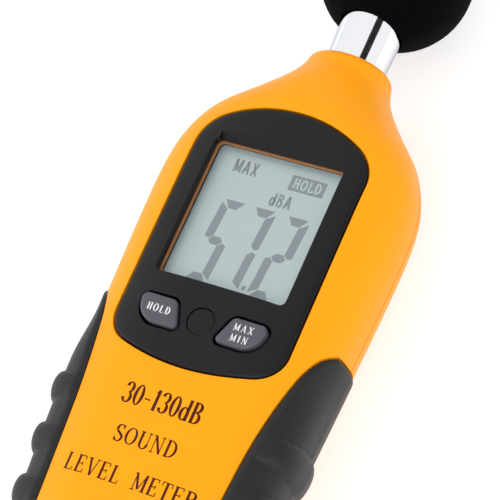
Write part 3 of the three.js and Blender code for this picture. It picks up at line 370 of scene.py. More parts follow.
GRIP_TOP, GRIP_BOTTOM, GRIP_BACK = -20.6, CASE_BOTTOM + 7.5, 10.5
GRIP_DEPTH, GRIP_PROUD = 1.2, 0.5
GRIP_EDGE = np.array([  # share of the grip's length, front edge's distance in from the widest line
    [0, 11.7], [0.35, 10.5], [0.52, 9.6], [0.72, 8.2], [0.89, 5.7], [0.96, 3.7], [1, 1.5]])


def grip_edge_x(y):
    """x of a grip's front edge at y."""
    return CASE_HALF_WIDTH - through(GRIP_EDGE, (y - GRIP_BOTTOM) / (GRIP_TOP - GRIP_BOTTOM), 1)


def grip_region(name, side, grow):
    """Everything outside one grip's front edge, between its ends, from its back edge up."""
    share = 1 - (1 - np.linspace(0, 1, 90)) ** 2
    y = GRIP_BOTTOM + (GRIP_TOP - GRIP_BOTTOM) * share
    edge = grip_edge_x(y) - grow
    y = y + grow * (2 * share - 1)
    line = np.concatenate([np.stack([edge, y], -1), [[FAR, y[-1]], [FAR, y[0]]]])
    return prism(name, line * [side, 1], GRIP_BACK - grow, FAR)


def grip_pocket(side):
    """Tool that sinks one grip's pocket into both shells."""
    low, high = GRIP_BOTTOM - 2, GRIP_TOP + 2
    pocket = case_solid("pocket", GRIP_PROUD, low, high, 1.5)
    carve(pocket, case_solid("floor", -GRIP_DEPTH, low - 1, high + 1, 1.5))
    return carve(pocket, grip_region("region", side, FIT_GAP), "INTERSECT")


def turned(name, profile, x=0.0, z=MIC_AXIS, count=96, loop=False, shape=None):
    """A profile of (radius, y) turned about an axis along Y through x, z."""
    profile = np.asarray(profile, float)
    turn = np.linspace(0, 2 * np.pi, count, endpoint=False)
    radius, y = profile[:, :1], profile[:, 1:]
    rings = np.stack([x + radius * np.cos(turn), y + 0 * turn, z + radius * np.sin(turn)], -1)
    return solid(name, rings if shape is None else shape(rings), loop)


def rod(name, x, y, radius, low, high, count=40):
    """Upright round tool."""
    return prism(name, arc(x, y, radius, 0, 2 * np.pi * (1 - 1 / count), count), low, high)


def tube_bore():
    """Tool for the bore that holds the microphone tube."""
    reach = [NECK_FLOOR - 12, CASE_TOP + 1]
    return turned("bore", [[0.01, reach[0]], [TUBE_RADIUS + FIT_GAP, reach[0]],
                           [TUBE_RADIUS + FIT_GAP, reach[1]], [0.01, reach[1]]])


KEY_CORNERS = [(-14.5, -21.4, 1.4), (-6.5, -21.4, 1.5), (-4.0, -27.5, 1.0), (-13.4, -27.5, 4.6)]
KEY_GAP = 0.55
HOLE_GAP, HOLE_MARGIN = KEY_GAP + 0.6, 3.6  # how far the shell's holes clear keys and window
POWER_KEY = dict(y=-24.3, radius=2.75)


def key_outline(side, grow):
    """Straight edges between round corners; the right key mirrors the left one."""
    corners = np.array(KEY_CORNERS)
    line = []
    for k, (x, y, radius) in enumerate(corners):
        before, after = corners[k - 1][:2], corners[(k + 1) % 4][:2]
        u, v = [(p - (x, y)) / np.linalg.norm(p - (x, y)) for p in (before, after)]
        half = np.arccos(u @ v) / 2
        towards = (u + v) / np.linalg.norm(u + v)
        centre = np.array([x, y]) + towards * radius / np.sin(half)
        outward = np.arctan2(-towards[1], -towards[0])
        spread = np.pi / 2 - half
        line.append(arc(*centre, radius + grow, outward + spread, outward - spread, 10))
    return np.concatenate(line) * [-side, 1]


CASE_SCREWS = [(15.5, CASE_TOP - 21.7), (-15.5, CASE_TOP - 21.7),
               (12.5, CASE_BOTTOM + 6.9), (-12.5, CASE_BOTTOM + 6.9)]
COUNTERBORE_RADIUS, SCREW_SEAT, SHANK_HOLE_RADIUS = 2.9, 6.5, 1.5
BOSS_RADIUS, BOSS_BELOW_PARTING = 3.6, 0.4


def case_hollow():
    """Tool that hollows a shell: coarser than the outside, since nothing shows it."""
    return case_solid("hollow", -WALL, CASE_BOTTOM + WALL, NECK_FLOOR, 3.0, 120)


front_shell = case_solid("orange_front_shell", 0, CASE_BOTTOM, CASE_TOP)
carve(front_shell, block("above", (-FAR, -2 * FAR, PARTING + PARTING_GAP / 2), (FAR, FAR, FAR)),
      "INTERSECT")
hollow = case_hollow()
under_bezel = block("under_bezel",
                    (-BEZEL_HALF - UNDER_BEZEL, BEZEL_BOTTOM - UNDER_BEZEL, CEILING),
                    (BEZEL_HALF + UNDER_BEZEL, BEZEL_TOP + UNDER_BEZEL, FAR))
carve(hollow, under_bezel)
carve(front_shell, hollow)
carve(front_shell, mouth("recess", lambda grow: evenly(bezel_outline(FIT_GAP + grow), 320),
                         RECESS_FLOOR, RECESS_RIM))
carve(front_shell, prism("display_hole", window_outline(HOLE_MARGIN), INSIDE, RECESS_FLOOR + 1))
carve(front_shell, tube_bore())
for side in (-1, 1):
    carve(front_shell, prism("key_hole", key_outline(side, HOLE_GAP), INSIDE, RECESS_FLOOR + 1))
    carve(front_shell, grip_pocket(side))
settle(front_shell, orange_abs, "meter", ["front_housing"])

# The back half holds the battery bay, whose opening the door closes, and four deep counterbores
# over the screw bosses.
BAY = dict(left=-18.15, right=18.15, bottom=-94.0, top=-38.5)
DOOR_CORNER = 2.0
DOOR_SUNK, DOOR_THICKNESS = 0.2, 1.8
HINGE_RADIUS = DOOR_THICKNESS / 2
HINGE_Y, HINGE_Z = BAY["bottom"] + FIT_GAP + HINGE_RADIUS, DOOR_SUNK + HINGE_RADIUS
BARREL_HALF, LUG_LENGTH, PIN_RADIUS, PIN_PLAY = 8.0, 1.5, 0.5, 0.2
HINGE_END = BARREL_HALF + LUG_LENGTH + 2 * FIT_GAP


def bay_outline(grow):
    """The door's opening, moved out by grow."""
    return rectangle(BAY["left"] - grow, BAY["right"] + grow,
                     BAY["bottom"] - grow, BAY["top"] + grow, DOOR_CORNER)


def along_hinge(name, radius, low, high):
    """Round bar along the door's hinge axis, between two x."""
    turn = np.linspace(0, 2 * np.pi, 40, endpoint=False)
    circle = np.stack([0 * turn, HINGE_Y + radius * np.cos(turn), HINGE_Z + radius * np.sin(turn)],
                      -1)
    return solid(name, [circle + [x, 0, 0] for x in (low, high)])


rear_shell = case_solid("orange_rear_shell", 0, CASE_BOTTOM, CASE_TOP)
carve(rear_shell, block("below", (-FAR, -2 * FAR, -FAR), (FAR, FAR, PARTING - PARTING_GAP / 2)),
      "INTERSECT")
hollow = case_hollow()
for x, y in CASE_SCREWS:
    carve(hollow, rod("boss", x, y, BOSS_RADIUS, -1, PARTING - BOSS_BELOW_PARTING))
carve(rear_shell, hollow)
carve(rear_shell, prism("bay", bay_outline(0), -1, PARTING))
carve(rear_shell, tube_bore())
for x, y in CASE_SCREWS:
    carve(rear_shell, rod("counterbore", x, y, COUNTERBORE_RADIUS, -2, SCREW_SEAT))
    carve(rear_shell, rod("shank_hole", x, y, SHANK_HOLE_RADIUS, -2, PARTING + 1))
for side in (-1, 1):
    carve(rear_shell, grip_pocket(side))
    lug_start = BARREL_HALF + FIT_GAP
    low, high = sorted((side * lug_start, side * (lug_start + LUG_LENGTH)))
    lug = block("lug", (low, BAY["bottom"] - 1, DOOR_SUNK),
                (high, HINGE_Y, DOOR_SUNK + DOOR_THICKNESS))
    carve(lug, along_hinge("lug_round", HINGE_RADIUS, low, high), "UNION")
    carve(lug, along_hinge("lug_hole", PIN_RADIUS + PIN_PLAY, low - 1, high + 1))
    carve(rear_shell, lug, "UNION")
settle(rear_shell, orange_abs, "meter", ["rear_housing"])

# ---------------------------------------------------------------- grips
# Two black rubber pads pressed into pockets of both shells. Each swells towards the front and has
# four finger knuckles with sharp creases between them, which close to a point on the front face.
RIDGE_PITCH, RIDGE_COUNT, RIDGE_FIRST = 11.3, 4, GRIP_TOP - 23.4
RIDGE_HEIGHT, RIDGE_HALF = 1.3, 3.0
GRIP_ROUND, GRIP_UNDER = 1.0, 0.25  # rounding of the pads' edges, and how deep it starts
SWELL_FROM, SWELL_OVER = -25, 13  # y where the swell starts, and over how far it grows


def grip_height(y, angle):
    """Height over the case: a swell towards the front, half-round knuckles that fade out towards
    the front, all times a quarter round within GRIP_ROUND of the pad's edge."""
    from_side = np.arctan2(np.sin(angle), np.abs(np.cos(angle)))
    across = smooth_step(1 - np.abs(from_side - 0.4) / 0.6)
    swell = across * smooth_step((SWELL_FROM - y) / SWELL_OVER)
    centres = RIDGE_FIRST - RIDGE_PITCH * np.arange(RIDGE_COUNT)
    nearest = np.abs(y[..., None] - centres).min(-1)
    reach = RIDGE_HALF * (1.25 - 0.45 * smooth_step(from_side / 0.9))
    along = np.sqrt(1 - np.clip(nearest / reach, 0, 1) ** 2)
    share = smooth_step((1 - np.abs(from_side - 0.1) / 0.85) * 1.6)
    skin = case_surface(y, angle)
    x, z = np.abs(skin[..., 0]), skin[..., 2]
    edge = grip_edge_x(y)
    inside = np.where(x > edge, np.hypot(x - edge, z - front_z(edge, y)), 0)
    inside = np.where(z > PARTING, inside, FAR)
    inside = np.minimum(inside, np.minimum(y - GRIP_BOTTOM, GRIP_TOP - y))
    inside = np.minimum(inside, z - GRIP_BACK)
    near = np.clip(inside / GRIP_ROUND, 0, 1)
    edge_round = np.sqrt(np.maximum(1 - (1 - near) ** 2, 0))
    full = GRIP_PROUD + swell + RIDGE_HEIGHT * share * along
    return (full + GRIP_UNDER) * edge_round - GRIP_UNDER


# Moulded rubber, bead-blasted in the tool: dull charcoal with a soft sheen at grazing angles.
grip_rubber = surface("moulded_black_rubber", "#1E1E1F", 0.55, 0.25, 0.012, tone=0.12,
                      **{"Specular IOR Level": 0.3, "Sheen Weight": 0.06,
                         "Sheen Roughness": 0.5})
for side, name in ((1, "right"), (-1, "left")):
    y = np.arange(GRIP_BOTTOM - 0.6, GRIP_TOP + 0.8, 0.35)[:, None]
    angle = even_angles(420)[None, :]
    y, angle = np.broadcast_arrays(y, angle)
    pad = solid("grip_pad_" + name, case_surface(y, angle, grip_height(y, angle)))
    carve(pad, case_solid("pad_back", FIT_GAP - GRIP_DEPTH, GRIP_BOTTOM - 2, GRIP_TOP + 2, 2.0))
    carve(pad, grip_region("region", side, 0), "INTERSECT")
    settle(pad, grip_rubber, "meter", ["grip_" + name], 45)

# ---------------------------------------------------------------- bezel, window and display
# A crowned black ABS panel sits in the recess of the front shell. A slope runs down to the window
# along its upper edge, and a thin tan gasket shows between the panel and the clear lens.
RAMP_LOW, RAMP_REACH, RAMP_FLARE = 0.8, 8.0, 1.2
BEZEL_ROUND, WINDOW_RIM, KEY_RIM = 0.6, 0.25, 0.3
LENS_MARGIN, LENS_POCKET = 1.6, 0.6
POWER_GAP = 0.3


def bezel_rings():
    """Rings of the panel: its flat underside, its wall, a quarter round, then its outline scaled
    down to the middle on the case's surface."""
    line = evenly(bezel_outline(0), 360)
    top = front_z(line[:, 0], line[:, 1]) - BEZEL_ROUND
    rings = [at_height(line * 0.02, BEZEL_BACK), at_height(line, BEZEL_BACK), at_height(line, top)]
    for turn in np.linspace(0, np.pi / 2, 7)[1:]:
        inner = evenly(bezel_outline(-BEZEL_ROUND * (1 - np.cos(turn))), 360)
        rings.append(at_height(inner, front_z(inner[:, 0], inner[:, 1])
                               - BEZEL_ROUND * (1 - np.sin(turn))))
    for share in np.linspace(1, 0.02, 60)[1:]:
        rings.append(at_height(inner * share, front_z(*(inner * share).T)))
    return rings


bezel = solid("bezel_panel_black", bezel_rings())
carve(bezel, mouth("window", lambda grow: evenly(window_outline(grow, WINDOW_CORNER + grow), 240),
                   INSIDE, WINDOW_RIM))
carve(bezel, prism("lens_pocket", window_outline(LENS_MARGIN), INSIDE, BEZEL_BACK + LENS_POCKET))
ramp_half = WINDOW["right"] - WINDOW_CORNER + 0.4
low = BEZEL_BACK + RAMP_LOW
slope = np.array([[WINDOW["top"] - 0.5, low], [WINDOW["top"], low],
                  [WINDOW["top"] + RAMP_REACH, low + RAMP_REACH],
                  [WINDOW["top"] - 0.5, low + RAMP_REACH]])
ramp = [np.stack([np.full(4, x), slope[:, 0], slope[:, 1]], -1) for x in (-ramp_half, ramp_half)]
ramp = [ring + [np.sign(ring[0, 0]) * RAMP_FLARE, 0, 0] * np.array([[0], [0], [1], [1]])
        for ring in ramp]
carve(bezel, solid("ramp", ramp))
for side in (-1, 1):
    carve(bezel, mouth("key_mouth", lambda grow: key_outline(side, KEY_GAP + grow), INSIDE,
                       KEY_RIM))
carve(bezel, rod("power_mouth", 0, POWER_KEY["y"], POWER_KEY["radius"] + POWER_GAP, INSIDE, FAR))
# Moulded black ABS, fine satin: dark with a broad soft highlight.
black_abs = surface("moulded_black_abs", "#131316", 0.42, 0.30, 0.008, tone=0.10,
                    **{"Specular IOR Level": 0.25})
settle(bezel, black_abs, "meter", ["bezel_panel"])

GASKET_TOP, GASKET_THICKNESS = BEZEL_BACK + 0.3, 0.35
gasket_section = [(1.3, 0), (1.3, -GASKET_THICKNESS), (-0.38, -GASKET_THICKNESS),
                  (-0.42, -0.2), (-0.38, -0.05), (-0.28, 0)]  # outwards of the window, and down
gasket_rings = [at_height(evenly(window_outline(grow, WINDOW_CORNER + grow * 0.3), 200),
                          GASKET_TOP + rise) for grow, rise in gasket_section]
# Die-cut adhesive foam tape with a bronze liner edge.
gasket_tape = surface("tan_gasket_tape", "#94602F", 0.45, 0.2, 0.01, tone=0.12)
settle(solid("window_gasket_tape", gasket_rings, loop=True), gasket_tape, "meter",
       ["window_gasket"])

LENS_TOP, LENS_THICKNESS = GASKET_TOP - GASKET_THICKNESS - 0.25, 1.0


def slab(name, outline, low, high, edge=0.12):
    """A flat plate with a small chamfer along its upper edge."""
    return solid(name, [at_height(outline(0), low), at_height(outline(0), high - edge),
                        at_height(outline(-edge), high)])


# Clear cast acrylic: nearly invisible from above, with its gloss growing at low angles. It is a
# thin sheet, so light is let straight through it.
clear_acrylic = bpy.data.materials.new("clear_cast_acrylic")
clear_acrylic.use_nodes = True
clear_acrylic.node_tree.nodes.clear()
place = add(clear_acrylic, "ShaderNodeTexCoord").outputs["Object"]
haze = add(clear_acrylic, "ShaderNodeTexNoise", {"Vector": place, "Scale": 1 / (4 * MILLIMETRE)})
haze = add(clear_acrylic, "ShaderNodeMapRange", {
    "Value": haze.outputs["Fac"], "To Min": 0.03, "To Max": 0.07})
gloss = add(clear_acrylic, "ShaderNodeBsdfGlossy", {"Roughness": haze.outputs["Result"]})
clear = add(clear_acrylic, "ShaderNodeBsdfTransparent", {"Color": linear("#FAFCFB")})
share = add(clear_acrylic, "ShaderNodeFresnel", {"IOR": 1.49})
both = add(clear_acrylic, "ShaderNodeMixShader", {
    0: share.outputs["Fac"], 1: clear.outputs["BSDF"], 2: gloss.outputs["BSDF"]})
add(clear_acrylic, "ShaderNodeOutputMaterial", {"Surface": both.outputs["Shader"]})
lens = slab("display_lens", lambda grow: window_outline(LENS_MARGIN + grow),
            LENS_TOP - LENS_THICKNESS, LENS_TOP)
settle(lens, clear_acrylic, "meter", ["display_window"])

LCD_TOP, LCD_THICKNESS = 28.4, 2.0
# Liquid crystal cell under a polariser film: pale grey-green, with a faint bluish painted glow that
# stands in for the light the recess and the lens keep from it.
lcd_film_painted_glow = surface("lcd_polariser_painted_glow", "#E6EEEA", 0.40, 0.08, 0.001, tone=0.02,
                   **{"Emission Color": (0.64, 0.82, 1.0, 1.0), "Emission Strength": 0.15})
lcd_cell = slab("lcd_cell", lambda grow: window_outline(LENS_MARGIN + grow),
                LCD_TOP - LCD_THICKNESS, LCD_TOP)
settle(lcd_cell, lcd_film_painted_glow, "meter", ["lcd_panel"])


# ---------------------------------------------------------------- lettering
# Pad-printed or screen-printed letters: thin layers of ink that follow the surface they are on.
# A letter is a set of strokes on a box one high; a stroke is a line of points and its thickness.
THICK, HAIR = 0.15, 0.055
DIAGONAL = THICK * 0.9
HEAD, FOOT = 0.972, 0.028  # heights of the upper and lower serifs' middles


def bow(x, y, wide, high, start, end, low=HAIR, full=THICK):
    """Elliptical stroke, thickest where it runs upright. Angles are in quarter turns."""
    turn = np.linspace(start, end, 28) * np.pi / 2
    line = np.stack([x + wide * np.cos(turn), y + high * np.sin(turn)], -1)
    return line, low + (full - low) * np.abs(np.cos(turn)) ** 1.5


def stroke(x0, y0, x1, y1, thickness=HAIR):
    """Straight stroke."""
    return np.linspace([x0, y0], [x1, y1], 5), np.full(5, thickness)


def serif(left, right, y):
    """Thin level stroke."""
    return stroke(left, y, right, y)


def stem(x, low=0.0, high=1.0, thickness=THICK, foot=True, head=True):
    """Upright stroke with short serifs at its ends."""
    parts = [stroke(x, low, x, high, thickness)]
    for wanted, y in ((foot, low + HAIR / 2), (head, high - HAIR / 2)):
        if wanted:
            parts.append(stroke(x - 0.13, y, x + 0.13, y))
    return parts


LETTERS = {
    "H": (0.80, stem(0.17) + stem(0.63) + [stroke(0.17, 0.52, 0.63, 0.52)]),
    "O": (0.84, [bow(0.42, 0.5, 0.32, 0.47, 0, 4)]),
    "L": (0.70, stem(0.20) + [serif(0.2, 0.62, FOOT), stroke(0.61, 0, 0.63, 0.22)]),
    "D": (0.82, stem(0.18) + [bow(0.28, 0.5, 0.42, 0.47, -1, 1),
                              serif(0.18, 0.3, FOOT), serif(0.18, 0.3, HEAD)]),
    "M": (0.98, stem(0.16, thickness=HAIR, head=False) + stem(0.82, head=False)
          + [stroke(0.15, 1, 0.49, 0.1, DIAGONAL), stroke(0.49, 0.1, 0.82, 1, HAIR),
             serif(0.04, 0.2, HEAD), serif(0.78, 0.94, HEAD)]),
    "A": (0.86, [stroke(0.13, 0, 0.43, 1), stroke(0.43, 1, 0.73, 0, DIAGONAL),
                 stroke(0.22, 0.32, 0.63, 0.32), serif(0.02, 0.25, FOOT),
                 serif(0.59, 0.85, FOOT)]),
    "X": (0.82, [stroke(0.13, 1, 0.69, 0, DIAGONAL), stroke(0.68, 1, 0.14, 0),
                 serif(0.02, 0.27, HEAD), serif(0.56, 0.8, HEAD),
                 serif(0.02, 0.26, FOOT), serif(0.56, 0.82, FOOT)]),
    "I": (0.44, stem(0.22)),
    "N": (0.86, stem(0.17, thickness=HAIR, head=False) + [
        stroke(0.15, 1, 0.69, 0.02, DIAGONAL), stroke(0.69, 0, 0.69, 1, HAIR),
        serif(0.02, 0.2, HEAD), serif(0.57, 0.81, HEAD)]),
    "S": (0.66, [bow(0.33, 0.74, 0.21, 0.24, 0.35, 2.3), bow(0.33, 0.26, 0.23, 0.24, -1.7, 0.35),
                 stroke(0.155, 0.61, 0.53, 0.38, DIAGONAL), stroke(0.53, 0.75, 0.55, 0.98),
                 stroke(0.1, 0.02, 0.11, 0.26)]),
    "U": (0.84, stem(0.19, 0.3, foot=False) + [bow(0.43, 0.32, 0.24, 0.3, 2, 4),
          stroke(0.67, 0.3, 0.67, 1), serif(0.56, 0.79, HEAD)]),
    "E": (0.72, stem(0.18) + [serif(0.18, 0.62, FOOT), serif(0.18, 0.6, HEAD),
                              stroke(0.18, 0.52, 0.48, 0.52), stroke(0.61, 0, 0.63, 0.24),
                              stroke(0.59, 1, 0.6, 0.8), stroke(0.48, 0.42, 0.48, 0.62)]),
    "V": (0.84, [stroke(0.14, 1, 0.43, 0, DIAGONAL), stroke(0.43, 0, 0.71, 1),
                 serif(0.02, 0.28, HEAD), serif(0.59, 0.83, HEAD)]),
    "T": (0.76, stem(0.38, head=False) + [serif(0.06, 0.7, HEAD),
          stroke(0.07, 1, 0.06, 0.76), stroke(0.69, 1, 0.7, 0.76)]),
    "R": (0.80, stem(0.18) + [bow(0.34, 0.76, 0.25, 0.215, -1, 1), serif(0.18, 0.36, HEAD),
          stroke(0.18, 0.545, 0.36, 0.545), stroke(0.4, 0.53, 0.68, 0.02, THICK * 0.85),
          serif(0.6, 0.79, FOOT)]),
    "B": (0.78, stem(0.18) + [bow(0.32, 0.76, 0.24, 0.215, -1, 1),
          bow(0.34, 0.27, 0.28, 0.245, -1, 1), serif(0.18, 0.34, HEAD), serif(0.18, 0.36, 0.53),
          serif(0.18, 0.36, FOOT)]),
    "d": (0.70, [bow(0.32, 0.31, 0.22, 0.29, 0, 4), stroke(0.53, 0, 0.53, 1, THICK),
                 serif(0.44, 0.55, HEAD), serif(0.53, 0.64, FOOT)]),
    "0": (0.68, [bow(0.34, 0.5, 0.23, 0.47, 0, 4)]),
    "1": (0.50, stem(0.27, head=False) + [stroke(0.12, 0.84, 0.27, 0.98)]),
    "3": (0.66, [bow(0.30, 0.745, 0.21, 0.23, -1, 1.9), bow(0.30, 0.27, 0.24, 0.245, -1.9, 1)]),
    "-": (0.56, [stroke(0.08, 0.42, 0.48, 0.42, HAIR * 1.2)]),
    " ": (0.70, []),
}
INK, SUNK = 0.03, 0.15  # how far a printed layer stands over the surface, and reaches into it


def ribbon(line, thickness, height, rise):
    """One stroke as a closed strip: its line moved half its thickness to each side, laid on
    height(x, y), INK thick."""
    along = np.gradient(line, axis=0)
    along /= np.linalg.norm(along, axis=1)[:, None]
    across = np.stack([-along[:, 1], along[:, 0]], -1) * thickness[:, None] / 2
    left, right = line + across, line - across
    rings = [at_height(left, height(*left.T) - SUNK), at_height(right, height(*right.T) - SUNK),
             at_height(right, height(*right.T) + rise), at_height(left, height(*left.T) + rise)]
    return np.stack(rings, 1)


def lettering(name, lines, height, rise=INK, plain=0.0):
    """All strokes of the given (text, x, y, letter height, letter width share, gap) lines, each
    centred on x with its foot at y. Plain lettering has one stroke thickness and no serifs."""
    strips, count = [], 0
    for text, middle, foot, tall, wide, gap in lines:
        spans = [LETTERS[letter][0] * wide + gap for letter in text]
        left = middle - (sum(spans) - gap) * tall / 2
        for letter, span in zip(text, spans):
            for line, thickness in LETTERS[letter][1]:
                short = np.ptp(line[:, 0]) < 0.28 and np.ptp(line[:, 1]) < 0.01
                if plain and short:
                    continue
                width = np.full(len(line), plain) if plain else thickness
                at = line * [wide * tall, tall] + [left, foot]
                strips.append(ribbon(at, width * tall, height, rise))
            left += span * tall
    pieces = [solid(name, strip) for strip in strips]
    first = pieces[0]
    verts, faces = [], []
    for part in pieces:
        start = len(verts)
        verts += [tuple(v.co) for v in part.data.vertices]
        faces += [[start + k for k in face.vertices] for face in part.data.polygons]
    mesh = bpy.data.meshes.new(name)
    mesh.from_pydata(verts, [], faces)
    for part in pieces[1:]:
        bpy.data.meshes.remove(part.data)
    old, first.data = first.data, mesh
    bpy.data.meshes.remove(old)
    first.name = name
    return first


# Pad-printing ink, dark red-brown, a little glossier than the plastic.
print_ink = surface("pad_printed_ink", "#4A1404", 0.45, 0.15, 0.002, tone=0.10,
                    **{"Specular IOR Level": 0.2})
front_print = lettering("printed_names", [
    ("30-130dB", 0, -44.8, 4.5, 0.72, 0.03),
    ("SOUND", 0, -52.8, 3.6, 0.92, 0.06),
    ("LEVEL METER", 0, -61.0, 3.6, 0.92, 0.06),
], front_z)
settle(front_print, print_ink, "meter")

# The display's segments: slanted bars with pointed ends, and small plain letters over them.
SLANT = 0.065
DIGIT_WIDE, DIGIT_HIGH, BAR = 5.5, 19.0, 1.85
DIGIT_MIDDLE = -5.0
SEGMENT_INK, BOX_INK, WORD_INK = 0.03, 0.02, 0.04


def bars(left, names):
    """The named segments of one digit, each a six-sided plate, slanted about the digit's middle."""
    x0, x1, half = 0, DIGIT_WIDE, DIGIT_HIGH / 2
    b, g = BAR, 0.22
    shapes = {
        "a": [(x0 + g + 0.3, half), (x1 - g - 0.3, half), (x1 - b, half - b), (x0 + b, half - b)],
        "b": [(x1, half - g - 0.6), (x1, g + 0.4), (x1 - b / 2, g), (x1 - b, g + 0.8),
              (x1 - b, half - b - g)],
        "c": [(x1, -half + g + 0.6), (x1, -g - 0.4), (x1 - b / 2, -g), (x1 - b, -g - 0.8),
              (x1 - b, -half + b + g)],
        "d": [(x0 + g + 0.3, -half), (x1 - g - 0.3, -half), (x1 - b, -half + b),
              (x0 + b, -half + b)],
        "e": [(x0, -half + g + 0.6), (x0, -g - 0.4), (x0 + b / 2, -g), (x0 + b, -g - 0.8),
              (x0 + b, -half + b + g)],
        "f": [(x0, half - g - 0.6), (x0, g + 0.4), (x0 + b / 2, g), (x0 + b, g + 0.8),
              (x0 + b, half - b - g)],
        "g": [(x0 + b / 2 + g, 0), (x0 + b + 0.1, b / 2), (x1 - b - 0.1, b / 2),
              (x1 - b / 2 - g, 0), (x1 - b - 0.1, -b / 2), (x0 + b + 0.1, -b / 2)],
        "dp": [(x1 + 0.7, -half + 0.9), (x1 + 1.5, -half + 0.9), (x1 + 1.5, -half + 1.8),
               (x1 + 0.7, -half + 1.8)],
    }
    plates = []
    for name in names:
        line = np.array(shapes[name], float)
        line[:, 0] += left + SLANT * line[:, 1]
        line[:, 1] += DIGIT_MIDDLE
        plates.append(line)
    return plates


# Switched-on liquid crystal: it darkens the polariser to grey, and a faint bluish painted glow
# stands in for the light the recess and the lens keep from it.
lcd_segment_painted_glow = surface("lcd_segment_painted_glow", "#9A9EA6", 0.40, 0.1, 0.001, tone=0.04,
                      **{"Emission Color": (0.68, 0.83, 1.0, 1.0), "Emission Strength": 0.10})
DIGITS = [(-10.2, ["a", "f", "g", "c", "d"]), (-3.2, ["a", "b", "c", "dp"]),
          (4.5, ["a", "b", "g", "e", "d"])]
plates = [line for left, names in DIGITS for line in bars(left, names)]
for number, line in enumerate(plates, 1):
    plate = prism(f"lcd_segment_painted_glow_{number:02d}", line, LCD_TOP, LCD_TOP + SEGMENT_INK)
    settle(plate, lcd_segment_painted_glow, "meter")


def on_lcd(x, y):
    """Height of the display's face."""
    return LCD_TOP + 0 * x


# The HOLD box and the small words share the segments' grey and their painted glow.
hold_box = prism("lcd_hold_box", rectangle(2.6, 10.6, 10.0, 13.5, 0.2), LCD_TOP,
                 LCD_TOP + BOX_INK)
settle(hold_box, lcd_segment_painted_glow, "meter")
lcd_words = lettering("lcd_words", [("MAX", -7.9, 10.8, 3.0, 0.66, 0.06),
                                    ("dBA", 2.5, 5.7, 2.9, 0.68, 0.06)], on_lcd, plain=0.16)
settle(lcd_words, lcd_segment_painted_glow, "meter")
# The HOLD word takes the polariser's pale colour and its painted glow.
lcd_hold = lettering("lcd_hold_word", [("HOLD", 6.6, 10.6, 2.3, 0.78, 0.10)], on_lcd, WORD_INK,
                     plain=0.155)
settle(lcd_hold, lcd_film_painted_glow, "meter")

# ---------------------------------------------------------------- keys
# Two grey silicone keys with a rounded edge and a slightly cushioned top stand in narrow grooves;
# the round power key between them is black and flush. Their names are screen-printed in white.
KEY_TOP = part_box("key_hold")[1].z * 1000
KEY_ROUND, KEY_CUSHION = 0.65, 0.1
POWER_KEY_ROUND, POWER_KEY_GROW = 0.3, 0.23
# Moulded silicone rubber, slightly glossy.
key_rubber = surface("moulded_grey_silicone", "#4C4D55", 0.42, 0.25, 0.008, tone=0.06)
# Screen-printed white ink.
white_ink = surface("screen_printed_white", "#F2F2F0", 0.5, 0.15, 0.002, tone=0.02)


def key_cap(name, outline, top, bottom, rounding=KEY_ROUND):
    """Straight wall, quarter round, then a top that rises by a shallow cushion to its middle."""
    line = outline(0)
    rings = [at_height(line, bottom), at_height(line, top - rounding - KEY_CUSHION)]
    for turn in np.linspace(0, np.pi / 2, 8)[1:]:
        inner = outline(-rounding * (1 - np.cos(turn)))
        rings.append(at_height(inner, top - KEY_CUSHION - rounding * (1 - np.sin(turn))))
    centre = inner.mean(0)
    for share in np.linspace(1, 0.03, 14)[1:]:
        rings.append(at_height(centre + (inner - centre) * share, top - KEY_CUSHION * share**2))
    return solid(name, rings)


def on_key(x, y):
    """Height of a key's top, near enough flat under its name."""
    return KEY_TOP - 0.01 + 0 * x


for side, node, body, words in (
    (-1, "key_hold", "hold_key", [("HOLD", -9.4, -25.2, 1.7, 0.78, 0.20)]),
    (1, "key_max_min", "max_min_key", [("MAX", 9.6, -24.2, 1.6, 0.88, 0.20),
                                       ("MIN", 9.5, -26.5, 1.6, 0.88, 0.22)]),
):
    low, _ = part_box(node)
    cap = key_cap(node + "_cap", lambda grow: key_outline(side, grow), KEY_TOP, low.z * 1000 + 1)
    settle(cap, key_rubber, body, [node], 60)
    name = lettering(node + "_name", words, on_key, 0.05)
    settle(name, white_ink, body)

power_low, power_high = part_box("key_power")
power_line = POWER_KEY["radius"] + POWER_KEY_GROW
power_cap = key_cap(
    "key_power_cap",
    lambda grow: arc(0, POWER_KEY["y"], power_line + grow, 0, 2 * np.pi * 47 / 48, 48),
    power_high.z * 1000, power_low.z * 1000 + 1, POWER_KEY_ROUND)
settle(power_cap, black_abs, "power_key", ["key_power"], 60)

# ---------------------------------------------------------------- microphone tube
# Drawn brass tube, polished and chromed, a little wider at its far end; it is pressed into the
# collar and carries the capsule at its end.
TUBE_FLARE, TUBE_WALL = 0.45, 0.7
TUBE_FROM, TUBE_TO = CASE_TOP - 14, CASE_TOP + 26.9
FLARE_FROM, FLARE_TO = CASE_TOP - 0.5, CASE_TOP + 9.5
outer = [(TUBE_RADIUS, TUBE_FROM), (TUBE_RADIUS, FLARE_FROM)]
outer += [(TUBE_RADIUS + TUBE_FLARE * share, FLARE_FROM + (FLARE_TO - FLARE_FROM) * share)
          for share in np.linspace(0.1, 1, 10)]
outer += [(TUBE_RADIUS + TUBE_FLARE, TUBE_TO - 0.25), (TUBE_RADIUS + TUBE_FLARE - 0.2, TUBE_TO)]
inner_radius = TUBE_RADIUS + TUBE_FLARE - TUBE_WALL
inner = [(inner_radius, TUBE_TO), (inner_radius, FLARE_TO),
         (TUBE_RADIUS - TUBE_WALL, FLARE_FROM), (TUBE_RADIUS - TUBE_WALL, TUBE_FROM)]
sleeve = turned("chrome_tube", outer + inner, count=128, loop=True)
# Chrome plate over polished brass: a mirror with faint drawing lines round the tube.
chrome_plate = surface("polished_chrome_plate", "#F6F7FA", 0.07, 0.5, 0.0008, tone=0.01,
                       uneven=0.02, **{"Metallic": 1.0, "Specular Tint": linear("#C3C8D2")})
settle(sleeve, chrome_plate, "meter", ["mic_sleeve"], 30)

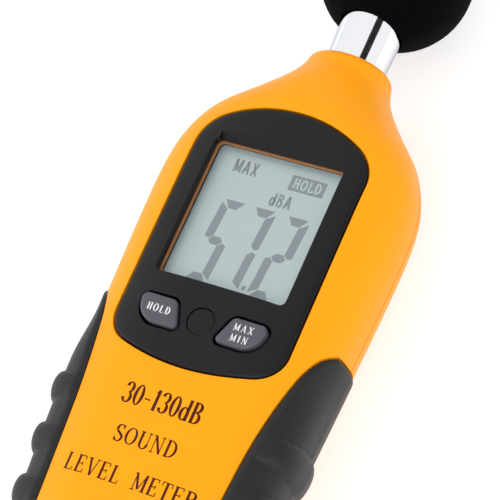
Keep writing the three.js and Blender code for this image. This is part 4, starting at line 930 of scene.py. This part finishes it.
# ---------------------------------------------------------------- foam windscreen
# A ball cut from fine black polyurethane foam with a bore that is pushed over the tube. It is
# slightly flat at its mouth, which sits a little higher over the tube's front.
FOAM_RADIUS = 17.0
FOAM_MOUTH, FOAM_BORE = CASE_TOP + 9.5, 7.3
FOAM_CENTRE = FOAM_MOUTH + np.sqrt(FOAM_RADIUS**2 - FOAM_BORE**2)
PORE_DEPTH = 0.09
MOUTH_DRAW, MOUTH_REACH = 1.4, 9.0
draw = np.random.default_rng(7)
start = np.arcsin(FOAM_BORE / FOAM_RADIUS)
lean = np.linspace(start, np.pi - 0.004, 190)
ball = np.stack([FOAM_RADIUS * np.sin(lean), FOAM_CENTRE - FOAM_RADIUS * np.cos(lean)], -1)
bore_end = TUBE_TO + 1
bore = [(0.05, bore_end), (FOAM_BORE * 0.6, bore_end), (FOAM_BORE, bore_end - 0.3),
        (FOAM_BORE, FOAM_MOUTH + 8), (FOAM_BORE, FOAM_MOUTH + 3), (FOAM_BORE, FOAM_MOUTH + 0.6),
        (FOAM_BORE + 0.1, FOAM_MOUTH + 0.15)]


def foam_shape(rings):
    """The ball's skin with a seeded random pore depth at every point, and its mouth drawn up by
    MOUTH_DRAW towards the front, fading out over the first MOUTH_REACH."""
    axis = np.array([0, FOAM_CENTRE, MIC_AXIS])
    away = rings - axis
    skin = np.zeros(rings.shape[:2])
    skin[len(bore):] = draw.uniform(-PORE_DEPTH, 0, skin[len(bore):].shape)
    distance = np.linalg.norm(away, axis=-1, keepdims=True)
    rings = rings + away / distance * skin[..., None]
    fade = 1 - smooth_step((rings[..., 1] - FOAM_MOUTH) / MOUTH_REACH)
    front = np.clip((rings[..., 2] - MIC_AXIS) / FOAM_BORE, 0, 1.2)
    rings[..., 1] += MOUTH_DRAW * front * fade
    return rings


foam_ball = turned("foam_windscreen_ball", np.concatenate([bore, ball]), count=300,
                   shape=foam_shape)
# Open-cell polyurethane foam, 0.6 mm pores: it swallows light, with a faint dusty sheen.
foam_black = surface("open_cell_foam", "#040405", 0.95, 0.6, 0.25, tone=0.35,
                     **{"Sheen Weight": 0.01, "Sheen Roughness": 0.6,
                        "Specular IOR Level": 0.04})
settle(foam_ball, foam_black, "foam_windscreen", ["windscreen"], 180)

# ---------------------------------------------------------------- battery door
# An orange ABS cover that follows the case's back, sunk a little below it, with four thumb
# grooves near its upper end. At its lower end a round barrel turns on pins in the shell's lugs.
door = case_solid("battery_door_cover", -DOOR_SUNK, BAY["bottom"] - 4, BAY["top"] + 4, 1.0)
carve(door, case_solid("door_inside", -DOOR_SUNK - DOOR_THICKNESS, BAY["bottom"] - 5,
                       BAY["top"] + 5, 1.0))
carve(door, prism("door_edge", bay_outline(-FIT_GAP), -1, GRIP_BACK), "INTERSECT")
GROOVE_COUNT, GROOVE_PITCH, GROOVE_FIRST = 4, 2.0, BAY["top"] - 5
GROOVE_LOW, GROOVE_HIGH = (5.75, 0.25), (6.4, 0.75)  # half length and half width, inside and out
for k in range(GROOVE_COUNT):
    y = GROOVE_FIRST - GROOVE_PITCH * k
    low_line, high_line = [rectangle(-long, long, y - wide, y + wide, 0.2)
                           for long, wide in (GROOVE_LOW, GROOVE_HIGH)]
    carve(door, solid("thumb_groove", [at_height(high_line, -1), at_height(low_line, 0.75)]))
EDGE_CUT, ABOVE_DOOR = 0.55, 5.0
carve(door, block("edge_cut", (-FAR, BAY["bottom"] - 1, -1),
                  (FAR, BAY["bottom"] + EDGE_CUT, HINGE_Z)))
carve(door, block("barrel_space", (-HINGE_END, BAY["bottom"] - 1, -1),
                  (HINGE_END, HINGE_Y, ABOVE_DOOR)))
for side in (-1, 1):
    low, high = sorted((side * BARREL_HALF, side * HINGE_END))
    carve(door, block("lug_space", (low, BAY["bottom"] - 1, -1),
                      (high, HINGE_Y + HINGE_RADIUS + FIT_GAP, ABOVE_DOOR)))
carve(door, along_hinge("barrel", HINGE_RADIUS, -BARREL_HALF, BARREL_HALF), "UNION")
carve(door, along_hinge("pin", PIN_RADIUS, -HINGE_END - 1, HINGE_END + 1), "UNION")
settle(door, orange_abs, "door", ["battery_door"])

# ---------------------------------------------------------------- pieces inside
# What the shells hide keeps its modelled shape, and gets the finish of its real material.
steel_bright = surface("zinc_plated_steel", "#A9ABAE", 0.32, 0.3, 0.004, Metallic=1.0)
nickel_plate = surface("nickel_plate", "#C9C5BA", 0.28, 0.3, 0.003, Metallic=1.0)
board_mask = surface("green_solder_mask", "#1E6A39", 0.35, 0.8, 0.01, tone=0.15)
chip_epoxy = surface("moulded_chip_epoxy", "#1A1A1C", 0.5, 0.15, 0.006)
trimmer_shell = surface("trimmer_plastic", "#B02A20", 0.4, 0.3, 0.004)
backlight_plate = surface("white_acrylic_diffuser", "#F0F0EA", 0.5, 0.3, 0.003)
zebra_strip = surface("carbon_silicone_strip", "#B9A7B0", 0.6, 0.18, 0.01, tone=0.3)
cell_jacket = surface("shrunk_cell_jacket", "#2C4F8F", 0.3, 0.6, 0.003, tone=0.12)
black_pvc = surface("black_pvc", "#1C1C1D", 0.45, 0.3, 0.004)
pad_foam = surface("closed_cell_foam", "#141415", 0.9, 0.5, 0.15, tone=0.2)
finishes = {
    "black_abs": black_abs, "grip_rubber": grip_rubber, "clear_window": clear_acrylic,
    "lcd_glass": lcd_film_painted_glow, "key_rubber": key_rubber, "gasket": gasket_tape,
    "orange_abs": orange_abs, "chrome": chrome_plate, "foam": pad_foam, "steel": steel_bright,
    "nickel": nickel_plate, "board_green": board_mask, "black_epoxy": chip_epoxy,
    "trimmer_red": trimmer_shell, "backlight_plate": backlight_plate,
    "zebra_rubber": zebra_strip, "cell_jacket": cell_jacket, "black_pvc": black_pvc,
}
for part in frame["record"]["subparts"]:
    piece = frame["nodes"][part["node"]]
    piece.data.materials.clear()
    piece.data.materials.append(finishes[part["material_slot"]])

# ---------------------------------------------------------------- studio
# A white light table under an even white sky, a large soft light behind the camera, a weaker one at
# the left, and a narrow black card that only mirrors show: it gives the tube its dark line.
TABLE_DROP = 1.0
table = solid("table", [at_height(rectangle(-3000, 3000, -3000, 3000, 1), z)
                        for z in (-TABLE_DROP - 10, -TABLE_DROP)])
table.data.materials.append(surface(
    "opal_light_table", "#B8B8B8", 0.9, 5.0, 0.01, tone=0.0,
    **{"Emission Color": (1.0, 1.0, 1.0, 1.0), "Emission Strength": 0.62}))

world = bpy.data.worlds.new("studio")
bpy.context.scene.world = world
world.use_nodes = True
world.node_tree.nodes["Background"].inputs["Color"].default_value = (1.0, 1.0, 1.0, 1.0)
world.node_tree.nodes["Background"].inputs["Strength"].default_value = 0.95


def soft_light(name, place, aim, size, power):
    """A square area light at a place, in metres, turned towards aim."""
    lamp = bpy.data.lights.new(name, "AREA")
    lamp.energy, lamp.size = power, size
    light = bpy.data.objects.new(name, lamp)
    light.location = place
    light.rotation_euler = (Vector(aim) - Vector(place)).to_track_quat("-Z", "Y").to_euler()
    bpy.context.scene.collection.objects.link(light)


soft_light("front_light", (0.35, -0.75, 0.75), (0, 0, 0), 0.7, 4)
soft_light("left_light", (-0.9, -0.2, 0.45), (0, 0, 0), 0.6, 2)

CARD_AWAY, CARD_HALF, CARD_LENGTH = 300.0, 65.0, 700.0
CARD_ANGLE = np.radians(54.5)
out_x, out_z = np.cos(CARD_ANGLE), np.sin(CARD_ANGLE)
card_ends = np.array([[CARD_AWAY * out_x + CARD_HALF * out_z * k,
                       MIC_AXIS + CARD_AWAY * out_z - CARD_HALF * out_x * k] for k in (-1, 1)])
card_line = np.array([card_ends[0], card_ends[1], card_ends[1] + [out_x, out_z],
                      card_ends[0] + [out_x, out_z]])
card = solid("black_card", [np.stack([card_line[:, 0], np.full(4, y), card_line[:, 1]], -1)
                            for y in (-CARD_LENGTH / 4, CARD_LENGTH * 3 / 4)])
card.data.materials.append(surface("black_card_paper", "#030303", 0.9, 1.0, 0.01, tone=0.1))
for ray in ("camera", "diffuse", "transmission", "shadow", "volume_scatter"):
    setattr(card, "visible_" + ray, False)

camera = bpy.data.cameras.new("camera")
camera.lens, camera.sensor_width = 172.8, 36.0
eye = bpy.data.objects.new("camera", camera)
EYE, AIM, ROLL = (0.2032, -0.1454, 0.4449), (-0.00098, 0.00706, 0.025), 32.912
turn = (Vector(AIM) - Vector(EYE)).to_track_quat("-Z", "Y").to_matrix().to_4x4()
eye.matrix_world = (Matrix.Translation(EYE) @ turn
                    @ Matrix.Rotation(-np.radians(ROLL), 4, "Z"))
camera.clip_start, camera.clip_end = 0.01, 20
bpy.context.scene.collection.objects.link(eye)
bpy.context.scene.camera = eye
bpy.context.scene.view_settings.view_transform = "Standard"
